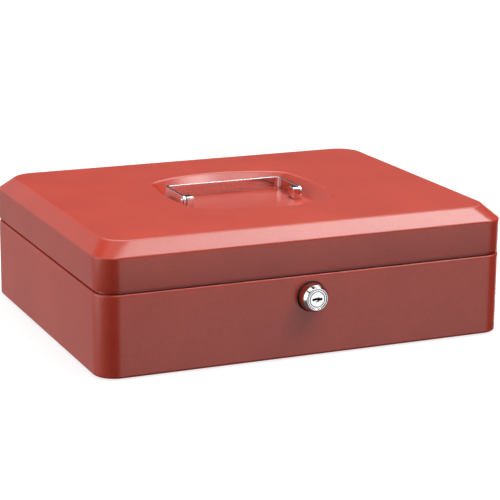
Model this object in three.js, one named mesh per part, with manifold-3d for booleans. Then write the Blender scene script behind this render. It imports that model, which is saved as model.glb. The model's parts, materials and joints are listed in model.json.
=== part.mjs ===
// Cash box: a pressed steel box with a hinged lid. The lid has a sunken well that holds a folding
// bail handle, the front has a cam lock, and a coin tray with loose dividers lifts out.
// Millimetres, +Z up, the front faces -Y. Heights are counted from the lower edge of the steel body.
import * as THREE from 'three';
import { mergeVertices } from 'three/addons/utils/BufferGeometryUtils.js';
import Module from 'manifold-3d';

const wasm = await Module();
wasm.setup();

// ---------------------------------------------------------------- driving dimensions
// Steel shells
const boxWidth = 300;
const boxDepth = 240;
const boxHeight = 90;
const cornerRadius = 15.5;
const sheet = 1;
const lidHeight = 31.6;
const partingGap = 1.7;
const chamfer = 9.2;
const chamferBend = 2.4;
const lidTopRun = 4.8;
const lidTopCorner = 17;
const bottomBend = 2;
const flangeWidth = 12;
const lipHeight = 7;
const lipClearance = 1.4;
const shoulderBend = 1.8;

// Handle well in the lid: a four-sided outline with bowed sides and round corners
const wellWidth = 116;
const wellLength = 120;
const wellSideRadius = 196;
const wellEndRadius = 92.5;
const wellCorner = 12;
const wellDepth = 9.6;
const wellWallRun = 9;
const wellLipBend = 3.5;
const wellFloorBend = 3;
const wellFloorRun = 2.1;

// Bail handle: a flat strip on edge, bent to a U, and its pivots
const bailSpan = 92.2;
const bailReach = 36.4;
const stripHeight = 8;
const stripThickness = 1.8;
const bailBend = 5;
const bailFloorGap = 0.6;
const postThickness = 5;
const postLength = 9;
const postRise = 3.8;
const postTopBend = 1.6;
const postGap = 0.4;
const pivotPinRadius = 1.4;
const pivotHeadRadius = 2.6;
const pivotHeadThickness = 1;
const pivotHeadBevel = 0.5;
const pivotPinGrip = 3;
const postScrewRadius = 1.2;
const postScrewHead = 3;
const postScrewGrip = 2.1;

// Hinges
const hingeSpacing = 160;
const hingeWidth = 40;
const leafThickness = 1;
const leafHeight = 17;
const hingePinRadius = 1;
const knuckleShare = 13.6;
const knuckleGap = 0.4;
const hingePinHead = 1.7;
const hingePinHeadThickness = 0.7;

// Lock: chrome housing with a stepped, turning plug, a hooked cam and a catch on the lid
const lockHeight = 41.8;
const lockProjection = 9.5;
const housingRim = 1.05;
const housingShoulderDepth = 3;
const housingShoulderDrop = 0.4;
const housingEdge = 0.6;
const gasketThickness = 0.6;
const gasketOverlap = 2.3;
const gasketShow = 0.6;
const barrelRadius = 8.3;
const barrelFlatDepth = 0.8;
const barrelLength = 13.5;
const plugFaceRadius = 6.7;
const plugFaceLength = 3;
const plugRadius = 5.5;
const plugSetBack = 0.3;
const tailSide = 6;
const keywayWidth = 7.6;
const keywayHeight = 1.8;
const keywayEye = 1.9;
const keywayEyeDepth = 1.2;
const waferCount = 4;
const waferThickness = 0.8;
const waferHeight = 6;
const waferPitch = 2.6;
const firstWaferDepth = 2;
const keywaySpare = 1;
const camThickness = 1.5;
const camHubRadius = 7;
const camHalfWidth = 3.5;
const camFingerClear = 4.2;
const camFingerBand = 4;
const camFingerAngle = THREE.MathUtils.degToRad(40);
const camScrewRadius = 1.2;
const camScrewHead = 4;
const camScrewHeadThickness = 1.4;
const camScrewGrip = 4;
const clipOverlap = 3.2;
const clipThickness = 1.2;
const clipGrooveDepth = 0.6;
const catchThickness = 1.2;
const catchWidth = 20;
const catchStep = 3.6;
const catchBar = 2.3;
const catchPlay = 1.4;
const catchFlangeAt = 6;

// Feet
const footInset = 28;
const footRadius = 7;
const footProud = 1;
const footEdge = 0.5;
const footStemRadius = 2.6;
const footHeadRadius = 4;
const footHeadHeight = 2.4;

// Coin tray, its rests and its dividers
const trayHeight = 30;
const trayWall = 2;
const trayTopBelowLip = 4;
const trayScoop = 14;
const trayRim = 1.5;
const trayRimHeight = 2.4;
const coinRowLength = 112;
const coinDividers = 4;
const noteDividers = 1;
const dividerThickness = 1.6;
const dividerDrop = 2;
const guideWidth = 1.4;
const guideDepth = 1.2;
const restLength = 130;
const restWidth = 9;
const restDrop = 11;

// Clearances
const seatGap = 0.15;
const fitGap = 0.3;
const runGap = 0.2;
const swingGap = 0.6;
const tagGap = 1.6;

// How far a cutting tool reaches past what it cuts, and a joined piece into its neighbour
const overreach = 1;

// Smoothness of the faceted surfaces
const bendSteps = 2;
const outlineSteps = 4;
const scoopSteps = 6;
const roundSteps = 24;
const camRoundSteps = 48;
const smallRoundSteps = 12;
const lidSplit = { side: 2, corner: 6, end: 4 };
const plainSplit = { side: 1, corner: 6, end: 1 };

// ---------------------------------------------------------------- derived levels and places
const rimHeight = boxHeight - lidHeight - partingGap;
const lidEdge = boxHeight - lidHeight;
const partingHeight = (rimHeight + lidEdge) / 2;
const lipInset = sheet + lipClearance;
const lipTop = lidEdge + lipHeight;
const innerWallY = boxDepth / 2 - sheet;
const wellFloor = boxHeight - wellDepth;
const pivotHeight = wellFloor + bailFloorGap + stripHeight / 2;
const postOuter = bailSpan / 2 - stripThickness - postGap;
const postInner = postOuter - postThickness;
const postCentre = (postOuter + postInner) / 2;
const knuckleBore = hingePinRadius + runGap;
const knuckleRadius = knuckleBore + leafThickness;
const hingeAxisY = innerWallY - fitGap + knuckleBore;
const hingeNotch = knuckleRadius + knuckleGap;
const hingeNotchHalf = hingeWidth / 2 + runGap + hingePinHeadThickness + swingGap;
const frontFace = -boxDepth / 2;
const lockTip = frontFace - lockProjection;
const housingSeat = frontFace - gasketThickness - 2 * seatGap;
const barrelFlat = barrelRadius - barrelFlatDepth;
const gasketRadius = barrelRadius + gasketOverlap;
const housingBaseRadius = gasketRadius - gasketShow;
const housingFaceRadius = plugFaceRadius + housingRim;
const clipRadius = barrelRadius + clipOverlap;
const camFingerInner = barrelRadius + camFingerClear;
const camFingerOuter = camFingerInner + camFingerBand;
const barrelEnd = frontFace + barrelLength;
const plugFace = lockTip + plugSetBack;
const plugEnd = barrelEnd + runGap;
const camFront = plugEnd + fitGap;
const camBack = camFront + camThickness;
const tailEnd = camBack + fitGap;
const camScrewFront = tailEnd + seatGap;
const camScrewBack = camScrewFront + camScrewHeadThickness;
const clipFront = -innerWallY + fitGap;
const catchLegFront = -innerWallY + lipClearance + sheet + swingGap;
const catchBack = camBack + catchPlay + catchThickness;
const trayFront = Math.max(catchBack, camScrewBack) + tagGap;
const trayBack = innerWallY - fitGap - leafThickness - tagGap;
const trayTop = lipTop - trayTopBelowLip;
const trayBottom = trayTop - trayHeight;
const trayHalfWidth = boxWidth / 2 - lipInset - sheet - trayRim - swingGap;
const panelBottom = sheet + seatGap;
const panelTop = panelBottom + sheet;

// ---------------------------------------------------------------- finishes
const redPaint = { color: 0xb5443f, roughness: 0.45, metalness: 0.05 };
const chrome = { color: 0xd9dadb, roughness: 0.12, metalness: 1 };
const plainSteel = { color: 0xb4b6b8, roughness: 0.35, metalness: 1 };
const brass = { color: 0xc9a860, roughness: 0.3, metalness: 1 };
const blackPlastic = { color: 0x26282b, roughness: 0.55, metalness: 0 };
const blackRubber = { color: 0x1b1b1c, roughness: 0.85, metalness: 0 };

// ---------------------------------------------------------------- solids: join, cut, keep
function toSolid(geometry) {
  const bare = geometry.clone();
  bare.deleteAttribute('normal');
  bare.deleteAttribute('uv');
  const merged = mergeVertices(bare);
  const vertProperties = new Float32Array(merged.attributes.position.array);
  const triVerts = new Uint32Array(merged.index.array);
  return new wasm.Manifold(new wasm.Mesh({ numProp: 3, vertProperties, triVerts }));
}

function toGeometry(solid) {
  const mesh = solid.getMesh();
  const geometry = new THREE.BufferGeometry();
  geometry.setAttribute('position', new THREE.BufferAttribute(mesh.vertProperties, 3));
  geometry.setIndex(new THREE.BufferAttribute(mesh.triVerts, 1));
  return geometry;
}

function cut(geometry, ...tools) {
  const solid = tools.reduce((rest, tool) => rest.subtract(toSolid(tool)), toSolid(geometry));
  return toGeometry(solid);
}

function join(geometry, ...others) {
  const solid = others.reduce((sum, other) => sum.add(toSolid(other)), toSolid(geometry));
  return toGeometry(solid);
}

function keep(geometry, region) {
  return toGeometry(toSolid(geometry).intersect(toSolid(region)));
}

// ---------------------------------------------------------------- simple shapes
// A block from one corner to the opposite one.
function block([x0, y0, z0], [x1, y1, z1]) {
  const geometry = new THREE.BoxGeometry(x1 - x0, y1 - y0, z1 - z0);
  return geometry.translate((x0 + x1) / 2, (y0 + y1) / 2, (z0 + z1) / 2);
}

const alongX = new THREE.Matrix4().makeBasis(
  new THREE.Vector3(0, 1, 0),
  new THREE.Vector3(0, 0, 1),
  new THREE.Vector3(1, 0, 0),
);
const alongY = new THREE.Matrix4().makeBasis(
  new THREE.Vector3(1, 0, 0),
  new THREE.Vector3(0, 0, 1),
  new THREE.Vector3(0, -1, 0),
);

// A side-view (Y, Z) outline carried from x0 to x1.
function sideExtrusion(shape, x0, x1) {
  const geometry = new THREE.ExtrudeGeometry(shape, { depth: x1 - x0, bevelEnabled: false });
  return geometry.applyMatrix4(alongX).translate(x0, 0, 0);
}

// A front-view (X, Z) outline carried from y0 back to y1.
function frontExtrusion(shape, y0, y1, curveSegments = roundSteps) {
  const settings = { depth: y1 - y0, bevelEnabled: false, curveSegments };
  return new THREE.ExtrudeGeometry(shape, settings).applyMatrix4(alongY).translate(0, y1, 0);
}

// A plan-view (X, Y) outline raised from z0 to z1.
function planExtrusion(shape, z0, z1) {
  const settings = { depth: z1 - z0, bevelEnabled: false, curveSegments: outlineSteps };
  return new THREE.ExtrudeGeometry(shape, settings).translate(0, 0, z0);
}

function polygon(points) {
  return new THREE.Shape(points.map(([x, y]) => new THREE.Vector2(x, y)));
}

function circle(x, y, radius) {
  const shape = new THREE.Shape();
  shape.absarc(x, y, radius, 0, Math.PI * 2);
  return shape;
}

// Turned shapes: [radius, distance along the axis] pairs that start and end on the axis, or
// close on themselves.
function turned(profile, steps = smallRoundSteps) {
  const points = profile.map(([radius, along]) => new THREE.Vector2(radius, along));
  return new THREE.LatheGeometry(points, steps);
}

function turnedUp(profile, steps) {
  return turned(profile, steps).rotateX(Math.PI / 2);
}

function turnedAcross(profile, steps) {
  return turned(profile, steps).rotateZ(-Math.PI / 2);
}

function rod(radius, from, to, steps) {
  return turned([[0, from], [radius, from], [radius, to], [0, to]], steps);
}

function uprightRod(radius, from, to, steps) {
  return rod(radius, from, to, steps).rotateX(Math.PI / 2);
}

function crossRod(radius, from, to, steps) {
  return rod(radius, from, to, steps).rotateZ(-Math.PI / 2);
}

// A block with upright round corners, given by its middle and size in plan.
function roundedBlock({ centreY, width, length, radius }, z0, z1) {
  const x = width / 2 - radius;
  const y = length / 2 - radius;
  const shape = new THREE.Shape();
  shape.absarc(x, centreY + y, radius, 0, Math.PI / 2);
  shape.absarc(-x, centreY + y, radius, Math.PI / 2, Math.PI);
  shape.absarc(-x, centreY - y, radius, Math.PI, Math.PI * 1.5);
  shape.absarc(x, centreY - y, radius, Math.PI * 1.5, Math.PI * 2);
  return planExtrusion(shape, z0, z1);
}

// ---------------------------------------------------------------- sheet-metal surfaces
// A loop is a closed outline in plan: points with outward normals, all loops of one split
// having the same number of points, so that one can be joined to another.
function arcPoint(centre, radius, angle) {
  const nx = Math.cos(angle);
  const ny = Math.sin(angle);
  return { x: centre.x + radius * nx, y: centre.y + radius * ny, nx, ny };
}

function arcPoints(centre, radius, from, to, steps) {
  const points = [];
  for (let i = 0; i <= steps; i++) {
    points.push(arcPoint(centre, radius, from + (to - from) * i / steps));
  }
  return points;
}

// One quadrant, from the middle of the right side to the middle of the far side, is mirrored
// into the other three.
function loopFromQuadrant(quadrant) {
  const loop = [];
  for (const [signX, signY] of [[1, 1], [-1, 1], [-1, -1], [1, -1]]) {
    const part = signX * signY > 0 ? quadrant : [...quadrant].reverse();
    for (const p of part.slice(0, -1)) {
      loop.push({ x: signX * p.x, y: signY * p.y, nx: signX * p.nx, ny: signY * p.ny });
    }
  }
  return loop;
}

function boxLoop(split, radius = cornerRadius) {
  const centre = { x: boxWidth / 2 - radius, y: boxDepth / 2 - radius };
  const quadrant = [];
  for (let i = 0; i < split.side; i++) {
    quadrant.push({ x: boxWidth / 2, y: centre.y * i / split.side, nx: 1, ny: 0 });
  }
  quadrant.push(...arcPoints(centre, radius, 0, Math.PI / 2, split.corner));
  for (let i = 1; i <= split.end; i++) {
    quadrant.push({ x: centre.x * (1 - i / split.end), y: boxDepth / 2, nx: 0, ny: 1 });
  }
  return loopFromQuadrant(quadrant);
}

// Where two circles cross, on the side away from the origin.
function circlesMeet(a, b) {
  const distance = Math.hypot(b.x - a.x, b.y - a.y);
  const along = (a.r ** 2 - b.r ** 2 + distance ** 2) / (2 * distance);
  const aside = Math.sqrt(a.r ** 2 - along ** 2);
  const ux = (b.x - a.x) / distance;
  const uy = (b.y - a.y) / distance;
  const x = a.x + ux * along - uy * aside;
  const y = a.y + uy * along + ux * aside;
  const otherX = a.x + ux * along + uy * aside;
  const otherY = a.y + uy * along - ux * aside;
  return x + y > otherX + otherY ? { x, y } : { x: otherX, y: otherY };
}

// The corner arc touches both bowed sides, so its centre is one corner radius inside each.
function wellLoop(split) {
  const side = { x: wellWidth / 2 - wellSideRadius, y: 0, r: wellSideRadius - wellCorner };
  const end = { x: 0, y: wellLength / 2 - wellEndRadius, r: wellEndRadius - wellCorner };
  const corner = circlesMeet(side, end);
  const sideAngle = Math.atan2(corner.y - side.y, corner.x - side.x);
  const endAngle = Math.atan2(corner.y - end.y, corner.x - end.x);
  return loopFromQuadrant([
    ...arcPoints(side, wellSideRadius, 0, sideAngle, split.side).slice(0, -1),
    ...arcPoints(corner, wellCorner, sideAngle, endAngle, split.corner),
    ...arcPoints(end, wellEndRadius, endAngle, Math.PI / 2, split.end).slice(1),
  ]);
}

// Sections of sheet are lists of corners [inset from the loop, height, bend radius].
function bendLine(corners) {
  const line = [];
  corners.forEach(([u, v, radius], i) => {
    if (i === 0 || i === corners.length - 1 || radius <= 0) {
      line.push([u, v]);
      return;
    }
    const before = Math.atan2(v - corners[i - 1][1], u - corners[i - 1][0]);
    const after = Math.atan2(corners[i + 1][1] - v, corners[i + 1][0] - u);
    const turn = Math.atan2(Math.sin(after - before), Math.cos(after - before));
    const side = Math.sign(turn);
    const reach = radius * Math.tan(Math.abs(turn) / 2);
    const centreU = u - reach * Math.cos(before) - side * radius * Math.sin(before);
    const centreV = v - reach * Math.sin(before) + side * radius * Math.cos(before);
    for (let k = 0; k <= bendSteps; k++) {
      const angle = before + turn * k / bendSteps;
      line.push([centreU + side * radius * Math.sin(angle), centreV - side * radius * Math.cos(angle)]);
    }
  });
  return line;
}

// The other side of the sheet: every corner moved by the sheet's thickness to the right of the
// line's direction, and its bend made tighter or wider by as much.
function otherSide(corners) {
  return corners.map(([u, v, radius], i) => {
    const previous = corners[Math.max(i - 1, 0)];
    const next = corners[Math.min(i + 1, corners.length - 1)];
    const before = i > 0 ? Math.atan2(v - previous[1], u - previous[0]) : null;
    const after = i < corners.length - 1 ? Math.atan2(next[1] - v, next[0] - u) : null;
    const first = before ?? after;
    const second = after ?? before;
    const turn = Math.atan2(Math.sin(second - first), Math.cos(second - first));
    const middle = first + turn / 2 - Math.PI / 2;
    const shift = sheet / Math.cos(turn / 2);
    return [u + shift * Math.cos(middle), v + shift * Math.sin(middle), radius + Math.sign(turn) * sheet];
  });
}

function ring(loop, [inset, height]) {
  return loop.map((p) => [p.x - p.nx * inset, p.y - p.ny * inset, height]);
}

function stitch(rings, indices, a, b) {
  const count = rings[0].length;
  for (let i = 0; i < count; i++) {
    const j = (i + 1) % count;
    indices.push(a * count + i, b * count + i, b * count + j);
    indices.push(a * count + i, b * count + j, a * count + j);
  }
}

function fromRings(points, indices) {
  const geometry = new THREE.BufferGeometry();
  geometry.setAttribute('position', new THREE.Float32BufferAttribute(points.flat(), 3));
  geometry.setIndex(indices);
  return geometry;
}

// A closed section carried round: every ring joins the next, and the last joins the first.
function sheetBand(rings) {
  const indices = [];
  rings.forEach((_, a) => stitch(rings, indices, a, (a + 1) % rings.length));
  return fromRings(rings.flat(), indices);
}

// A pressed pan: rings from a pole on one side of the sheet, round its edge, to the other pole.
function sheetPan(rings, firstPole, lastPole) {
  const indices = [];
  const count = rings[0].length;
  const points = [...rings.flat(), firstPole, lastPole];
  const first = points.length - 2;
  const last = points.length - 1;
  const lastRing = (rings.length - 1) * count;
  for (let a = 0; a < rings.length - 1; a++) {
    stitch(rings, indices, a, a + 1);
  }
  for (let i = 0; i < count; i++) {
    const j = (i + 1) % count;
    indices.push(first, i, j);
    indices.push(lastRing + i, last, lastRing + j);
  }
  return fromRings(points, indices);
}

// ---------------------------------------------------------------- assembly helpers
const assembly = new THREE.Group();
const steelBox = new THREE.Group();
steelBox.position.set(0, (lockProjection - (hingeAxisY + knuckleRadius - boxDepth / 2)) / 2, footProud);
assembly.add(steelBox);

function subGroup(x, y, z) {
  const group = new THREE.Group();
  group.position.set(x, y, z);
  steelBox.add(group);
  return group;
}

function addPiece(group, name, geometry, finish) {
  const mesh = new THREE.Mesh(geometry, new THREE.MeshStandardMaterial(finish));
  mesh.name = name;
  group.add(mesh);
  return mesh;
}

const sides = [['left', -1], ['right', 1]];

// ---------------------------------------------------------------- body
function lockHole() {
  const from = frontFace - overreach;
  const to = -innerWallY + overreach;
  const round = rod(barrelRadius + fitGap, from, to, roundSteps);
  const half = barrelFlat + fitGap;
  const flats = block([-half, from, -barrelRadius * 2], [half, to, barrelRadius * 2]);
  return keep(round, flats).translate(0, 0, lockHeight);
}

function hingeNotchBlock(x, from, to) {
  const low = [x - hingeNotchHalf, innerWallY - lipInset - overreach, from];
  return block(low, [x + hingeNotchHalf, boxDepth / 2 + overreach, to]);
}

function bodyShell() {
  const section = [
    [flangeWidth, 0, 0],
    [0, 0, bottomBend],
    [0, rimHeight, shoulderBend],
    [lipInset, rimHeight, (lipInset - shoulderBend) / 2],
    [lipInset, lipTop, 0],
  ];
  const loop = boxLoop(plainSplit);
  const outside = bendLine(section).reverse();
  const inside = bendLine(otherSide(section));
  const shell = sheetBand([...outside, ...inside].map((place) => ring(loop, place)));
  const notchFrom = partingHeight - hingeNotch;
  const notches = sides.map(([, sign]) => (
    hingeNotchBlock(sign * hingeSpacing / 2, notchFrom, lipTop + overreach)
  ));
  return cut(shell, lockHole(), ...notches);
}

function footPlaces() {
  const x = boxWidth / 2 - footInset;
  const y = boxDepth / 2 - footInset;
  return [['front_left', -x, -y], ['front_right', x, -y], ['rear_left', -x, y], ['rear_right', x, y]];
}

function basePanel() {
  const inset = Math.max(bottomBend, sheet) + fitGap;
  const loop = boxLoop(plainSplit).map((p) => [p.x - p.nx * inset, p.y - p.ny * inset]);
  const shape = polygon(loop);
  footPlaces().forEach(([, x, y]) => shape.holes.push(circle(x, y, footStemRadius + fitGap)));
  return planExtrusion(shape, panelBottom, panelTop);
}

// Rubber button foot: a disc under the panel, a stem through it and a bulb above it.
function foot() {
  const headBase = panelTop + fitGap;
  return turnedUp([
    [0, -footProud],
    [footRadius - footEdge, -footProud],
    [footRadius, footEdge - footProud],
    [footRadius, panelBottom - fitGap],
    [footStemRadius, panelBottom - fitGap],
    [footStemRadius, headBase],
    [footHeadRadius, headBase],
    [footStemRadius, headBase + footHeadHeight],
    [0, headBase + footHeadHeight],
  ]);
}

// Angle strip welded to a side wall. The tray stands on its shelf.
function trayRest(sign) {
  const wall = boxWidth / 2 - sheet - fitGap;
  const top = trayBottom - fitGap;
  const middle = (trayFront + trayBack) / 2;
  const from = middle - restLength / 2;
  const to = middle + restLength / 2;
  const shelf = block([wall - restWidth, from, top - sheet], [wall, to, top]);
  const web = block([wall - sheet, from, top - restDrop], [wall, to, top]);
  const angle = join(shelf, web);
  return sign > 0 ? angle : angle.rotateZ(Math.PI).translate(0, 2 * middle, 0);
}

const body = subGroup(0, 0, 0);
addPiece(body, 'body_shell', bodyShell(), redPaint);
addPiece(body, 'base_panel', basePanel(), redPaint);
for (const [place, x, y] of footPlaces()) {
  addPiece(body, `foot_${place}`, foot(), blackRubber).position.set(x, y, 0);
}
for (const [side, sign] of sides) {
  addPiece(body, `tray_rest_${side}`, trayRest(sign), redPaint);
}

// ---------------------------------------------------------------- lid
// Up the bevel the corners open out evenly, from the walls' radius to the lid top's own. Both sides
// of the sheet share one centre at each height, so the sheet keeps its thickness.
function lidRing([inset, height]) {
  const bevelFoot = boxHeight - chamfer;
  const share = THREE.MathUtils.clamp((height - bevelFoot) / chamfer, 0, 1);
  const growth = lidTopCorner - (cornerRadius - chamfer);
  return ring(boxLoop(lidSplit, cornerRadius + growth * share), [inset, height]);
}

function lidShell() {
  const outerCorners = [
    [0, lidEdge, 0],
    [0, boxHeight - chamfer, chamferBend],
    [chamfer, boxHeight, chamferBend],
    [chamfer + lidTopRun, boxHeight, 0],
  ];
  const wellCorners = [
    [-wellLipBend, boxHeight, 0],
    [0, boxHeight, wellLipBend],
    [wellWallRun, wellFloor, wellFloorBend],
    [wellWallRun + wellFloorRun, wellFloor, 0],
  ];
  const wellRing = (place) => ring(wellLoop(lidSplit), place);
  const rings = [
    ...bendLine(wellCorners).reverse().map(wellRing),
    ...bendLine(outerCorners).reverse().map(lidRing),
    ...bendLine(otherSide(outerCorners)).map(lidRing),
    ...bendLine(otherSide(wellCorners)).map(wellRing),
  ];
  const shell = sheetPan(rings, [0, 0, wellFloor], [0, 0, wellFloor - sheet]);
  const notchTo = partingHeight + hingeNotch;
  const notches = sides.map(([, sign]) => (
    hingeNotchBlock(sign * hingeSpacing / 2, lidEdge - overreach, notchTo)
  ));
  const screwHoles = sides.map(([, sign]) => (
    uprightRod(postScrewRadius + fitGap, wellFloor - sheet - overreach, wellFloor + overreach)
      .translate(sign * postCentre, 0, 0)
  ));
  return cut(shell, ...notches, ...screwHoles);
}

// Catch: a strip welded inside the lid's front wall. It steps inwards past the body's lip, hangs
// down behind the lock's barrel, and has a flange with a window for the cam's finger.
function lockCatch() {
  const wall = -innerWallY + fitGap;
  const top = boxHeight - chamfer - chamferBend;
  const stepTop = lipTop + catchStep;
  const stepBottom = lipTop + swingGap;
  const legBottom = lockHeight + barrelRadius + swingGap;
  const right = catchFlangeAt + catchThickness;
  const strip = sideExtrusion(polygon([
    [wall, top],
    [wall, stepTop],
    [catchLegFront, stepBottom],
    [catchLegFront, legBottom],
    [catchLegFront + catchThickness, legBottom],
    [catchLegFront + catchThickness, stepBottom],
    [wall + catchThickness, stepTop],
    [wall + catchThickness, top],
  ]), right - catchWidth, right);
  const windowLow = Math.sqrt(camFingerInner ** 2 - right ** 2) - swingGap;
  const windowHigh = Math.sqrt(camFingerOuter ** 2 - catchFlangeAt ** 2) + swingGap;
  const flange = block(
    [catchFlangeAt, catchLegFront, lockHeight + windowLow - catchBar],
    [right, catchBack, lockHeight + windowHigh + catchBar],
  );
  const window = block(
    [catchFlangeAt - overreach, camFront - catchPlay, lockHeight + windowLow],
    [right + overreach, camBack + catchPlay, lockHeight + windowHigh],
  );
  return cut(join(strip, flange), window);
}

const lid = subGroup(0, 0, 0);
addPiece(lid, 'lid_shell', lidShell(), redPaint);

addPiece(lid, 'lock_catch', lockCatch(), plainSteel);

// ---------------------------------------------------------------- hinges
// A leaf lies inside a rear wall: the body's leaf hangs down and ends in the two outer knuckles,
// the lid's leaf stands up and ends in the middle one. Drawn round the hinge axis.
function hingeLeaf(direction, knuckles) {
  const half = hingeWidth / 2;
  const [low, high] = [hingeNotch * direction, leafHeight * direction].sort((a, b) => a - b);
  const plate = block([-half, -knuckleRadius, low], [half, -knuckleBore, high]);
  const parts = knuckles.flatMap(([from, to]) => {
    const [neckLow, neckHigh] = [0, (hingeNotch + overreach) * direction].sort((a, b) => a - b);
    return [
      block([from, -knuckleRadius, neckLow], [to, -knuckleBore, neckHigh]),
      turnedAcross([
        [knuckleRadius, from], [knuckleRadius, to], [knuckleBore, to], [knuckleBore, from],
        [knuckleRadius, from],
      ]),
    ];
  });
  return join(plate, ...parts);
}

function hingePin() {
  const half = hingeWidth / 2 + runGap;
  const end = half + hingePinHeadThickness;
  return turnedAcross([
    [0, -end], [hingePinHead, -end], [hingePinHead, -half], [hingePinRadius, -half],
    [hingePinRadius, half], [hingePinHead, half], [hingePinHead, end], [0, end],
  ]);
}

const middleHalf = knuckleShare / 2;
const outerKnuckles = [
  [-hingeWidth / 2, -middleHalf - knuckleGap],
  [middleHalf + knuckleGap, hingeWidth / 2],
];
for (const [side, sign] of sides) {
  const hinge = subGroup(sign * hingeSpacing / 2, hingeAxisY, partingHeight);
  addPiece(hinge, `hinge_body_leaf_${side}`, hingeLeaf(-1, outerKnuckles), redPaint);
  addPiece(hinge, `hinge_lid_leaf_${side}`, hingeLeaf(1, [[-middleHalf, middleHalf]]), redPaint);
  addPiece(hinge, `hinge_pin_${side}`, hingePin(), plainSteel);
}

// ---------------------------------------------------------------- bail handle
// The strip stands on edge: its U is drawn in plan and raised, and the free ends are rounded
// about the pivot axis.
function bail() {
  const half = bailSpan / 2;
  const innerBend = bailBend - stripThickness;
  const bendX = half - bailBend;
  const bendY = bailReach - bailBend;
  const tail = -stripHeight / 2;
  const shape = new THREE.Shape();
  shape.moveTo(half, tail);
  shape.lineTo(half, bendY);
  shape.absarc(bendX, bendY, bailBend, 0, Math.PI / 2);
  shape.absarc(-bendX, bendY, bailBend, Math.PI / 2, Math.PI);
  shape.lineTo(-half, tail);
  shape.lineTo(stripThickness - half, tail);
  shape.absarc(-bendX, bendY, innerBend, Math.PI, Math.PI / 2, true);
  shape.absarc(bendX, bendY, innerBend, Math.PI / 2, 0, true);
  shape.lineTo(half - stripThickness, tail);
  const strip = planExtrusion(shape, -stripHeight / 2, stripHeight / 2);
  const far = half + overreach;
  const ends = crossRod(stripHeight / 2, -far, far, roundSteps);
  const rest = block([-far, 0, -stripHeight], [far, bailReach + overreach, stripHeight]);
  const bore = crossRod(pivotPinRadius + fitGap, -far, far);
  return cut(keep(strip, join(ends, rest)), bore);
}

// Pivot post beside each arm, with a cross hole for the pin and a hole below for its screw.
function handlePost() {
  const half = postLength / 2;
  const bottom = wellFloor + seatGap - pivotHeight;
  const shape = new THREE.Shape();
  shape.moveTo(-half, bottom);
  shape.lineTo(half, bottom);
  shape.absarc(half - postTopBend, postRise - postTopBend, postTopBend, 0, Math.PI / 2);
  shape.absarc(postTopBend - half, postRise - postTopBend, postTopBend, Math.PI / 2, Math.PI);
  const settings = { depth: postThickness, bevelEnabled: false, curveSegments: outlineSteps };
  const post = new THREE.ExtrudeGeometry(shape, settings).applyMatrix4(alongX);
  const pinEnd = postOuter - pivotPinGrip - fitGap;
  const pinHole = crossRod(pivotPinRadius + fitGap, pinEnd, postOuter + overreach);
  const screwTop = bottom - seatGap + postScrewGrip + fitGap;
  const screwHole = uprightRod(postScrewRadius + fitGap, bottom - overreach, screwTop);
  return cut(post.translate(postInner, 0, 0), pinHole, screwHole.translate(postCentre, 0, 0));
}

function handlePin() {
  const headFrom = bailSpan / 2 + seatGap;
  const headTo = headFrom + pivotHeadThickness;
  return turnedAcross([
    [0, postOuter - pivotPinGrip],
    [pivotPinRadius, postOuter - pivotPinGrip],
    [pivotPinRadius, headFrom],
    [pivotHeadRadius, headFrom],
    [pivotHeadRadius, headTo - pivotHeadBevel],
    [pivotHeadRadius - pivotHeadBevel, headTo],
    [0, headTo],
  ]);
}

function handleScrew() {
  const headTop = wellFloor - sheet - seatGap;
  const headBottom = headTop - postScrewRadius;
  return turnedUp([
    [0, headBottom],
    [postScrewHead, headBottom],
    [postScrewHead, headTop],
    [postScrewRadius, headTop],
    [postScrewRadius, wellFloor + postScrewGrip],
    [0, wellFloor + postScrewGrip],
  ]);
}

const handle = subGroup(0, 0, pivotHeight);
addPiece(handle, 'bail', bail(), chrome);
for (const [side, sign] of sides) {
  const turn = sign > 0 ? 0 : Math.PI;
  addPiece(handle, `handle_post_${side}`, handlePost(), chrome).rotation.z = turn;
  addPiece(handle, `handle_pin_${side}`, handlePin(), chrome).rotation.z = turn;
  addPiece(lid, `handle_screw_${side}`, handleScrew(), plainSteel).position.x = sign * postCentre;
}

// ---------------------------------------------------------------- lock
// Everything here is drawn round the lock's axis, which runs along Y.
function lockHousing() {
  const faceBore = plugFaceRadius + runGap;
  const bore = plugRadius + runGap;
  const faceEnd = plugFace + plugFaceLength + runGap;
  const cone = turned([
    [housingFaceRadius - housingEdge, lockTip],
    [housingFaceRadius, lockTip + housingEdge],
    [housingBaseRadius - housingShoulderDrop, lockTip + housingShoulderDepth],
    [housingBaseRadius, housingSeat],
    [barrelRadius, housingSeat],
    [barrelRadius, barrelEnd],
    [bore, barrelEnd],
    [bore, faceEnd],
    [faceBore, faceEnd],
    [faceBore, lockTip],
    [housingFaceRadius - housingEdge, lockTip],
  ], roundSteps);
  const reach = housingBaseRadius;
  const grooveFront = clipFront - seatGap;
  const grooveBack = clipFront + clipThickness + seatGap;
  const cuts = sides.flatMap(([, sign]) => [
    sideSlab(sign, barrelFlat, reach, housingSeat, barrelEnd + overreach),
    sideSlab(sign, barrelFlat - clipGrooveDepth, reach, grooveFront, grooveBack),
  ]);
  return cut(cone, ...cuts);
}

// A slab beside the lock's axis, from one distance to another on the side that sign gives.
function sideSlab(sign, near, far, y0, y1) {
  const [low, high] = [sign * near, sign * far].sort((a, b) => a - b);
  return block([low, y0, -far], [high, y1, far]);
}

function lockGasket() {
  const front = frontFace - seatGap - gasketThickness;
  const disc = rod(gasketRadius, front, front + gasketThickness, roundSteps);
  return cut(disc, rod(barrelRadius + fitGap, front - overreach, frontFace + overreach, roundSteps));
}

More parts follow.
